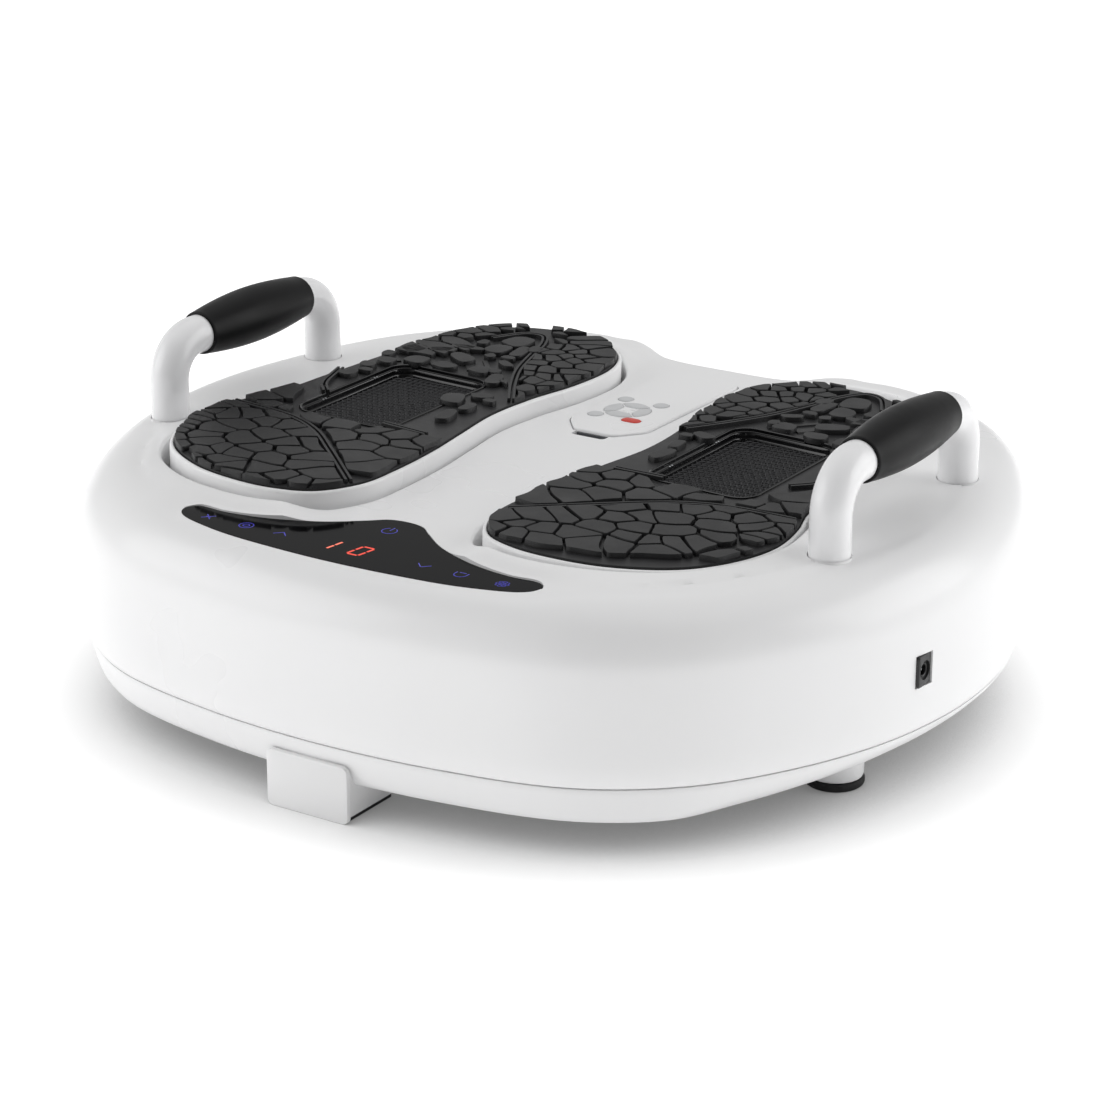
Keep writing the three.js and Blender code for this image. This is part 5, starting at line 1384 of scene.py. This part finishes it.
def handle(side):
    shape = Shape()
    rings = []
    for (y, z), (dy, dz) in handle_line():
        ring = []
        for x, v in circle(HANDLE_RADIUS, count=40):
            ring.append((side * HANDLE_X + x, y + v * dz, z - v * dy))
        rings.append(shape.space_ring(ring))
    shape.bands(rings)
    shape.faces.append(tuple(reversed(rings[0])))
    shape.faces.append(tuple(rings[-1]))
    return shape


def grip(side):
    low, high = box_mm("right_grip" if side > 0 else "left_grip")
    half = (high[1] - low[1]) / 2
    middle = (high[1] + low[1]) / 2
    profile = [(radius, inset - half) for radius, inset in GRIP_COLLAR]
    for step in range(GRIP_STEPS + 1):
        along = -1 + 2 * step / GRIP_STEPS
        at_end = abs(along) == 1
        swell = 0 if at_end else math.cos(along * math.pi / 2) ** 0.9
        profile.append(((GRIP_WIDTH + GRIP_SWELL * swell) / 2 + 0.15 * at_end, along * (half - GRIP_END)))
    profile += [(radius, half - inset) for radius, inset in reversed(GRIP_COLLAR)]
    shape = Shape()
    shape.turned(profile, 72, "y", (side * HANDLE_X, middle, HANDLE_TOP))
    return shape


for side_name, side in SIDES:
    handle(side).piece(f"{side_name}_handle_tube", white_coat, "body", "white_coat", (f"{side_name}_handle",))
    barrel = grip(side).piece(f"{side_name}_hand_grip", grip_rubber, "body", "grip_rubber",
                              (f"{side_name}_grip",))
    print(barrel.name, "faces", len(barrel.data.polygons))

# %% [markdown]
# The touch panel is a thin acrylic lens set flush in its recess. Its marks are thin inlays: a two-figure
# seven-segment display with slanted bars, and six touch symbols drawn with a stroke of half a millimetre.

# %% Touch panel and its marks
PANEL_TOP = PANEL_HIGH[2]
MARK_Z = PANEL_TOP + 0.03
MARK_DEPTH = 0.1
STROKE, THIN_STROKE, BAR_STROKE = 0.62, 0.4, 1.5
SYMBOL_SIZE = 4.2
FIGURE_SIZE = (7.5, 13.5)
FIGURE_SLANT = 0.14
BAR_GAP = 0.9


def touch_panel():
    shape = Shape()
    shape.prism(grow(panel_outline, -0.1), PANEL_LOW[2], PANEL_TOP, bevel=0.35)
    return shape


def stroke(shape, line, width=STROKE):
    """A thin flat ribbon along a line on the panel."""
    line = np.array(line, float)
    for a, b in zip(line, line[1:]):
        along = (b - a) / max(np.linalg.norm(b - a), 1e-6)
        across = np.array([-along[1], along[0]]) * width / 2
        start, end = a - along * width * 0.2, b + along * width * 0.2
        corners = (start - across, end - across, end + across, start + across)
        bottom, top = (shape.ring(corners, z) for z in (MARK_Z - MARK_DEPTH, MARK_Z))
        shape.faces += [tuple(top), tuple(reversed(bottom))]
        shape.band(bottom, top)


def arc(radius, start, end, count=14):
    """Points on an arc between two directions in degrees."""
    turns = [math.radians(start + (end - start) * k / count) for k in range(count + 1)]
    return [(radius * math.cos(turn), radius * math.sin(turn)) for turn in turns]


# The lines of each symbol, with the symbol's size as the unit.
SYMBOLS = {
    "cross": [[(-0.7, -0.7), (0.7, 0.7)], [(0.7, -0.7), (-0.7, 0.7)], [(-0.35, 0), (0.35, 0)]],
    "ring": [arc(1, 0, 360, 24), arc(0.45, 0, 360)],
    "up": [[(-1, -0.5), (0, 0.5), (1, -0.5)]],
    "down": [[(-1, 0.5), (0, -0.5), (1, 0.5)]],
    "cup": [[(-0.9, 0.6), *arc(0.9, 180, 360), (0.9, 0.6)], [(-0.5, 0.6), (0.5, 0.6)]],
    "flower": [[(x + u, y + v) for u, v in arc(0.2738, 0, 360, 8)] for x, y in arc(0.68, 0, 315, 7)]
    + [arc(0.25, 0, 360, 10)],
    "power": [arc(1.05, 120, 420, 22), [(0, 0.1), (0, 1.3)]],
}


def symbol(shape, kind, x, y):
    """One touch symbol; the flower is drawn with a thinner stroke."""
    for line in SYMBOLS[kind]:
        stroke(shape, np.array(line) * SYMBOL_SIZE + (x, y), THIN_STROKE if kind == "flower" else STROKE)


def seven_segment(shape, x, y, lit):
    """A slanted seven-segment figure; lit names its bars a to g."""
    wide, high = FIGURE_SIZE[0] / 2, FIGURE_SIZE[1] / 2
    inner, upper = wide - BAR_GAP, high - BAR_GAP
    bars = {
        "a": ((-inner, high), (inner, high)), "d": ((-inner, -high), (inner, -high)),
        "g": ((-inner, 0), (inner, 0)), "f": ((-wide, BAR_GAP), (-wide, upper)),
        "b": ((wide, BAR_GAP), (wide, upper)), "e": ((-wide, -upper), (-wide, -BAR_GAP)),
        "c": ((wide, -upper), (wide, -BAR_GAP)),
    }
    for name in lit:
        stroke(shape, [(x + u + v * FIGURE_SLANT, y + v) for u, v in bars[name]], BAR_STROKE)


touch_panel().piece("touch_panel_lens", panel_acrylic, "body", "black_gloss", ("touch_panel",))
blue_marks = Shape()
for kind, x, y in (("cross", -100, -199.5), ("ring", -73, -199.5), ("up", -48, -199.5), ("down", 48, -199.5),
                   ("cup", 73, -199.5), ("flower", 100, -199.5), ("power", 0, -163.5)):
    symbol(blue_marks, kind, x, y)
blue_marks.piece("touch_symbols", mark_blue, "body", "black_gloss")
FIGURES = (("tens", digit_dim, -15.5, "bc"), ("units", digit_red, 6, "abcdef"))
for figure_name, figure_finish, figure_x, lit in FIGURES:
    figure = Shape()
    seven_segment(figure, figure_x, -199, lit)
    figure.piece(f"display_figure_{figure_name}", figure_finish, "body", "black_gloss")
print("panel marks", len(blue_marks.faces))

# %% [markdown]
# The remote is a thin white case with eight keys: four round or pill-shaped ones at the corners of a square
# and a ring of four petals round a moulded star. The cover is triangulated round the key holes, so each key
# can really travel, and its top edge is rounded.

# %% Remote control
REMOTE_TOP = REMOTE_HIGH[2]
CENTRE = (-5, 98)
CASE_POINTS = 200
KEY_GAP = 0.3
KEY_HOLE_DEPTH = 1.6
# Inset and depth of the cover's rounded edge, and share and depth of a key's domed top.
COVER_EDGE = [(0, 1.3), (0.12, 0.75), (0.45, 0.3), (1.0, 0)]
KEY_DOME = ((0.97, 0.62), (0.9, 0.42), (0.75, 0.24), (0.5, 0.1), (0.2, 0.02))
KEY_WALL = 0.9
ROUND_KEY = 5
STAR_TIP, STAR_WAIST = 7.4, 2.6


def petal_loop(turn):
    """A petal: a sector with a hollow inner end that leaves room for the star."""
    loop = []
    for k, (x, y) in enumerate(arc(15.2, turn - 43, turn + 43)):
        pinch = 1 - 0.04 * abs(k - 7) / 7
        loop.append((x * pinch, y * pinch))
    for k, (x, y) in enumerate(arc(5.2, turn + 38, turn - 38, 6)):
        reach = 1 + 0.35 * (abs(k - 3) / 3) ** 1.5
        loop.append((x * reach, y * reach))
    return respaced(soft_corners(list(counterclockwise(loop)), 1.8), 44) + CENTRE


def key_loops():
    """The outline of each key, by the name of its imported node."""
    loops = {"remote_power_button": rounded_box(13, 7.6, 3.7, CENTRE[0] + 13, CENTRE[1] - 17)}
    for name, x, y in (("front_left", -13, -17), ("back_left", -13, 19), ("back_right", 13, 19)):
        loops[f"remote_button_{name}"] = circle(ROUND_KEY, CENTRE[0] + x, CENTRE[1] + y, 36)
    for name, turn in (("front", -90), ("back", 90), ("left", 180), ("right", 0)):
        loops[f"remote_petal_{name}"] = petal_loop(turn)
    return loops


def remote_cover(keys):
    shape = Shape()
    loop = respaced(remote_loop(0), CASE_POINTS)
    profile = [(0, REMOTE_LOW[2])] + [(inset, REMOTE_TOP - drop) for inset, drop in COVER_EDGE]
    rings = [shape.ring(grow(loop, -inset), z) for inset, z in profile]
    shape.bands(rings)
    holes = [grow(counterclockwise(key), KEY_GAP) for key in keys.values()]
    rim, *edges = shape.sheet(grow(loop, -COVER_EDGE[-1][0]), holes, REMOTE_TOP)
    for hole, edge in zip(holes, edges):
        shape.band(edge, shape.ring(hole, REMOTE_TOP - KEY_HOLE_DEPTH))
    shape.band(rings[-1], rim)
    return shape


def remote_key(name, loop):
    """A key with a softly domed top."""
    shape = Shape()
    low, high = box_mm(name)
    loop = counterclockwise(loop)
    centre = loop.mean(0)
    rings = [shape.ring(loop, low[2]), shape.ring(loop, high[2] - KEY_WALL)]
    for share, drop in KEY_DOME:
        rings.append(shape.ring(centre + (loop - centre) * share, high[2] - drop))
    shape.solid(rings)
    return shape


def star():
    """The four-pointed star moulded between the petals."""
    shape = Shape()
    loop = [np.array(p) * (STAR_WAIST if k % 2 else STAR_TIP) + CENTRE
            for k, p in enumerate(arc(1, 45, 360, 7))]
    shape.prism(loop, REMOTE_TOP - 0.3, REMOTE_TOP + 0.35, bevel=0.3)
    return shape


key_outlines = key_loops()
remote_cover(key_outlines).piece("remote_top_case", white_abs, "remote", "white_abs", ("remote_cover",),
                                 crease=30)
for key_name, key_outline in key_outlines.items():
    key_slot = "red_button" if "power" in key_name else "grey_button"
    remote_key(key_name, key_outline).piece(f"{key_name}_cap", FINISH_OF_SLOT[key_slot], f"{key_name}_body",
                                            key_slot, (key_name,), crease=50)
star().piece("remote_star", white_abs, "remote", "white_abs")
lower_case = Shape()
CASE_LOW, CASE_HIGH = box_mm("remote_case")
case_loop = respaced(remote_loop(0), CASE_POINTS)
CASE_EDGE = [(1.2, 0), (0.4, 0.4), (0, 1.2)]
case_profile = [(inset, CASE_LOW[2] + rise) for inset, rise in CASE_EDGE]
case_profile += [(0, CASE_HIGH[2]), (1.6, CASE_HIGH[2])]
lower_case.solid([lower_case.ring(grow(case_loop, -inset), z) for inset, z in case_profile])
lower_case.piece("remote_lower_case", white_abs, "remote", "white_abs", ("remote_case",), crease=30)
LED_LOW, LED_HIGH = box_mm("remote_led")
LED_DOME = [(0, 0), (0.9, 0.15), (1.7, 0.6), (2.3, 1.4), (2.5, 2.2), (2.5, 4.6), (0, 4.6)]
WINDOW_SLAB = (23, 1.6, 0.6)
lens_shape = Shape()
led_middle = (LED_LOW + LED_HIGH) / 2
lens_shape.turned(LED_DOME, 32, "y", (led_middle[0], LED_LOW[1], led_middle[2]))
# A smoked window fills the nose round the emitter, between the case's corners.
lens_shape.prism(rounded_box(*WINDOW_SLAB, 0, LED_LOW[1] + 0.3), LED_LOW[2] + 0.6, REMOTE_TOP - 1.9, bevel=0.3)
lens_shape.piece("remote_emitter_lens", smoke_lens, "remote", "smoke_lens", ("remote_led",))
print("remote keys", len(key_outlines))

# %% [markdown]
# Five feet carry the machine: four round columns with rubber pads, moulded with a little draft, and one
# rectangular foot in front with its own cover plate. The power inlet sits in the right wall.


# %% Feet and inlet
# Insets and heights of the rounded lower edges of a column and of a rubber disc.
COLUMN_EDGE = [(1.4, 0), (0.5, 0.4), (0, 1.4), (-0.25, 8), (-0.9, 13)]
DISC_EDGE = [(2.4, 0), (1.2, 0.25), (0.3, 1), (0, 2)]
COLUMN_DRAFT = 1
COLUMN_SUNK = 6
# The inlet: inset or radius, and depth behind its face.
SOCKET_BEZEL = [(0, 12), (0, 0.6), (0.2, 0.15), (0.7, 0)]
SOCKET_MOUTH = [(5.6, 0), (5.4, 1.2), (4.4, 1.4), (3.7, 0.9), (3.2, 1.2), (3.2, 10), (0.05, 10)]
SOCKET_PIN = [(0, 10), (1, 10), (1, 3), (0.7, 2.4), (0, 2.2)]


def foot(node, pad):
    """A drafted round column and the rubber disc it stands on."""
    low, high = box_mm(node)
    pad_low, pad_high = box_mm(pad)
    x, y = ((low + high) / 2)[:2]
    radius = (high[0] - low[0]) / 2 - COLUMN_DRAFT
    top = high[2] - COLUMN_SUNK
    column = Shape()
    foot_end = [(radius - inset, low[2] + rise) for inset, rise in COLUMN_EDGE]
    column.turned([(0, low[2]), *foot_end, (radius + COLUMN_DRAFT, top), (0, top)], 64, "z", (x, y, 0))
    column.piece(f"{node}_column", white_abs, "body", "white_abs", (node,))
    size = (pad_high[0] - pad_low[0]) / 2
    lower = [(size - inset, rise) for inset, rise in DISC_EDGE]
    upper = [(size - inset, pad_high[2] - drop) for inset, drop in ((0, 1.2), (0.3, 0.5), (1.1, 0))]
    disc = Shape()
    disc.turned([(0, 0), *lower, *upper, (0, pad_high[2])], 64, "z", (x, y, 0))
    disc.piece(f"{pad}_disc", foot_rubber, "body", SLOT_OF_NODE[pad], (pad,))


for side_name in ("left", "right"):
    for end_name in ("front", "back"):
        foot(f"{side_name}_{end_name}_foot", f"{side_name}_{end_name}_foot_pad")


def upright_plate(width, height, radius, front, back, bevel):
    """A rounded plate that stands upright, facing the front, with its front edge softened."""
    shape = Shape()
    rings = []
    for inset, y in ((0, back), (0, front + bevel), (bevel * 0.3, front + bevel * 0.3), (bevel, front)):
        ring = rounded_box(width - 2 * inset, height - 2 * inset, radius - inset, 0, height / 2, 10)
        rings.append(shape.space_ring([(x, y, z) for x, z in ring]))
    shape.bands(rings)
    shape.faces += [tuple(rings[-1]), tuple(reversed(rings[0]))]
    return shape


COVER_LOW, COVER_HIGH = box_mm("front_foot_cover")
cover_size = COVER_HIGH - COVER_LOW
upright_plate(cover_size[0], cover_size[2], 4, COVER_LOW[1], COVER_HIGH[1], 0.8).piece(
    "front_foot_face", white_abs, "body", "white_abs", ("front_foot_cover",))
BLOCK_LOW, BLOCK_HIGH = box_mm("front_foot")
BLOCK_CORNER = 2.5
block_x, block_y = ((BLOCK_LOW + BLOCK_HIGH) / 2)[:2]
block_width, block_depth, block_height = BLOCK_HIGH - BLOCK_LOW
block = Shape()
block_rings = []
for inset, rise in ((1.2, 0), (0.3, 0.4), (0, 1.2), (0, block_height)):
    loop = rounded_box(block_width - 2 * inset, block_depth - 2 * inset, BLOCK_CORNER - inset / 2,
                       block_x, block_y)
    block_rings.append(block.ring(loop, BLOCK_LOW[2] + rise))
block.solid(block_rings)
block.piece("front_foot_block", white_abs, "body", "white_abs", ("front_foot",))


def power_inlet():
    """The socket: a rounded bezel with a raised ring, a deep round mouth and the pin inside."""
    shape = Shape()
    middle_y, middle_z = ((INLET_LOW + INLET_HIGH) / 2)[1:]
    width, height = (INLET_HIGH - INLET_LOW)[1:]
    face = INLET_HIGH[0]
    rings = []
    for inset, depth in SOCKET_BEZEL:
        ring = rounded_box(width - 2 * inset, height - 2 * inset, 1.6 - inset, middle_y, middle_z, 11)
        rings.append(shape.space_ring([(face - depth, y, z) for y, z in ring]))
    count = len(rings[0])
    angles = -math.pi / 4 + np.arange(count) * 2 * math.pi / count
    for radius, depth in SOCKET_MOUTH:
        rings.append(shape.space_ring([(face - depth, middle_y + radius * math.cos(a),
                                        middle_z + radius * math.sin(a)) for a in angles]))
    shape.bands(rings)
    shape.faces.append(tuple(reversed(rings[0])))
    shape.piece("power_socket", black_abs, "body", "black_abs", ("power_inlet",))
    pin = Shape()
    pin.turned([(radius, face - depth) for radius, depth in SOCKET_PIN], 24, "x", (0, middle_y, middle_z))
    pin.piece("power_socket_pin", steel, "body", "steel")


power_inlet()
print("feet and inlet made")

# %% [markdown]
# The stage is a plain white floor under a white backdrop, so the white body stands on white with only a soft
# shadow under it; near the body that shadow is deepened by painted shade in the floor's colour and glow. One large
# soft box hangs above and behind, one stands in front on the left, one behind on the right, and a pale sky fills
# the rest.

# %% Stage and light
FLOOR_HALF = 12.0
SHADE_REACH = 0.1


def floor_with_painted_shadow():
    """Matt white paper whose colour and glow are darkened close to the body: painted shade that deepens the
    shadow under it.
    """
    material = new_material("white_paper_painted_shadow")
    # Ambient occlusion darkens the floor's colour and glow near the body: a painted shadow.
    painted_shadow_source = add_node(material, "AmbientOcclusion", {"Distance": SHADE_REACH, "samples": 12})
    shade = ramp(material, painted_shadow_source, "AO", 0.1, 0.85, ("#8c8c8c", "#ffffff"))
    shader = add_node(material, "BsdfPrincipled", {"Roughness": 0.9, "Emission Strength": 0.45,
                                                   "Specular IOR Level": 0.2},
                      {"Base Color": (shade, "Color"), "Emission Color": (shade, "Color")})
    return finish(material, shader)


floor_mesh = bpy.data.meshes.new("floor")
FLOOR_CORNERS = [(-FLOOR_HALF, -FLOOR_HALF, 0), (FLOOR_HALF, -FLOOR_HALF, 0), (FLOOR_HALF, FLOOR_HALF, 0),
                 (-FLOOR_HALF, FLOOR_HALF, 0)]
floor_mesh.from_pydata(FLOOR_CORNERS, [], [(0, 1, 2, 3)])
floor_mesh.materials.append(floor_with_painted_shadow())
floor = bpy.data.objects.new("floor", floor_mesh)
scene.collection.objects.link(floor)


def soft_box(name, place, target, size, power):
    """A large rectangular light that looks at a target."""
    light = bpy.data.lights.new(name, "AREA")
    light.shape = "RECTANGLE"
    light.size, light.size_y = size
    light.energy = power
    lamp = bpy.data.objects.new(name, light)
    lamp.location = place
    lamp.rotation_euler = (Vector(target) - Vector(place)).to_track_quat("-Z", "Y").to_euler()
    scene.collection.objects.link(lamp)
    return lamp


soft_box("overhead_box", (0.1, 0.6, 3.0), (0, 0, 0), (4.0, 3.0), 20)
soft_box("left_box", (-2.75, -2.35, 1.6), (0, 0, 0.1), (3.2, 2.6), 48)
soft_box("right_box", (3.0, 1.9, 1.4), (0, 0, 0.1), (3.0, 2.4), 54)
world = bpy.data.worlds.new("pale_sky")
world.use_nodes = True
sky = world.node_tree.nodes["Background"]
# The sky is dimmer towards the front right, which leaves a soft grey band down the middle of the front wall.
DIM_SIDE = (0.78, -0.6, 0.15)
WHITE = (1, 1, 1, 1)
toward = add_node(world, "TexCoord")
facing = add_node(world, "VectorMath", {"operation": "DOT_PRODUCT"}, {0: (toward, "Generated")})
facing.inputs[1].default_value = DIM_SIDE
dimmed = add_node(world, "MapRange", {"interpolation_type": "SMOOTHSTEP", "From Min": 0.1, "From Max": 0.95,
                                      "To Min": 0.56, "To Max": 0.08}, {"Value": (facing, "Value")})
world.node_tree.links.new(dimmed.outputs["Result"], sky.inputs["Strength"])
sky.inputs["Color"].default_value = WHITE
backdrop = add_node(world, "Background", {"Color": WHITE, "Strength": 1.0})
seen = add_node(world, "LightPath")
chosen_sky = add_node(world, "MixShader", None, {0: (seen, "Is Camera Ray"), 1: (sky, 0), 2: (backdrop, 0)})
world.node_tree.links.new(chosen_sky.outputs[0], world.node_tree.nodes["World Output"].inputs["Surface"])
scene.world = world
scene.view_settings.view_transform = "Standard"
print("stage ready")
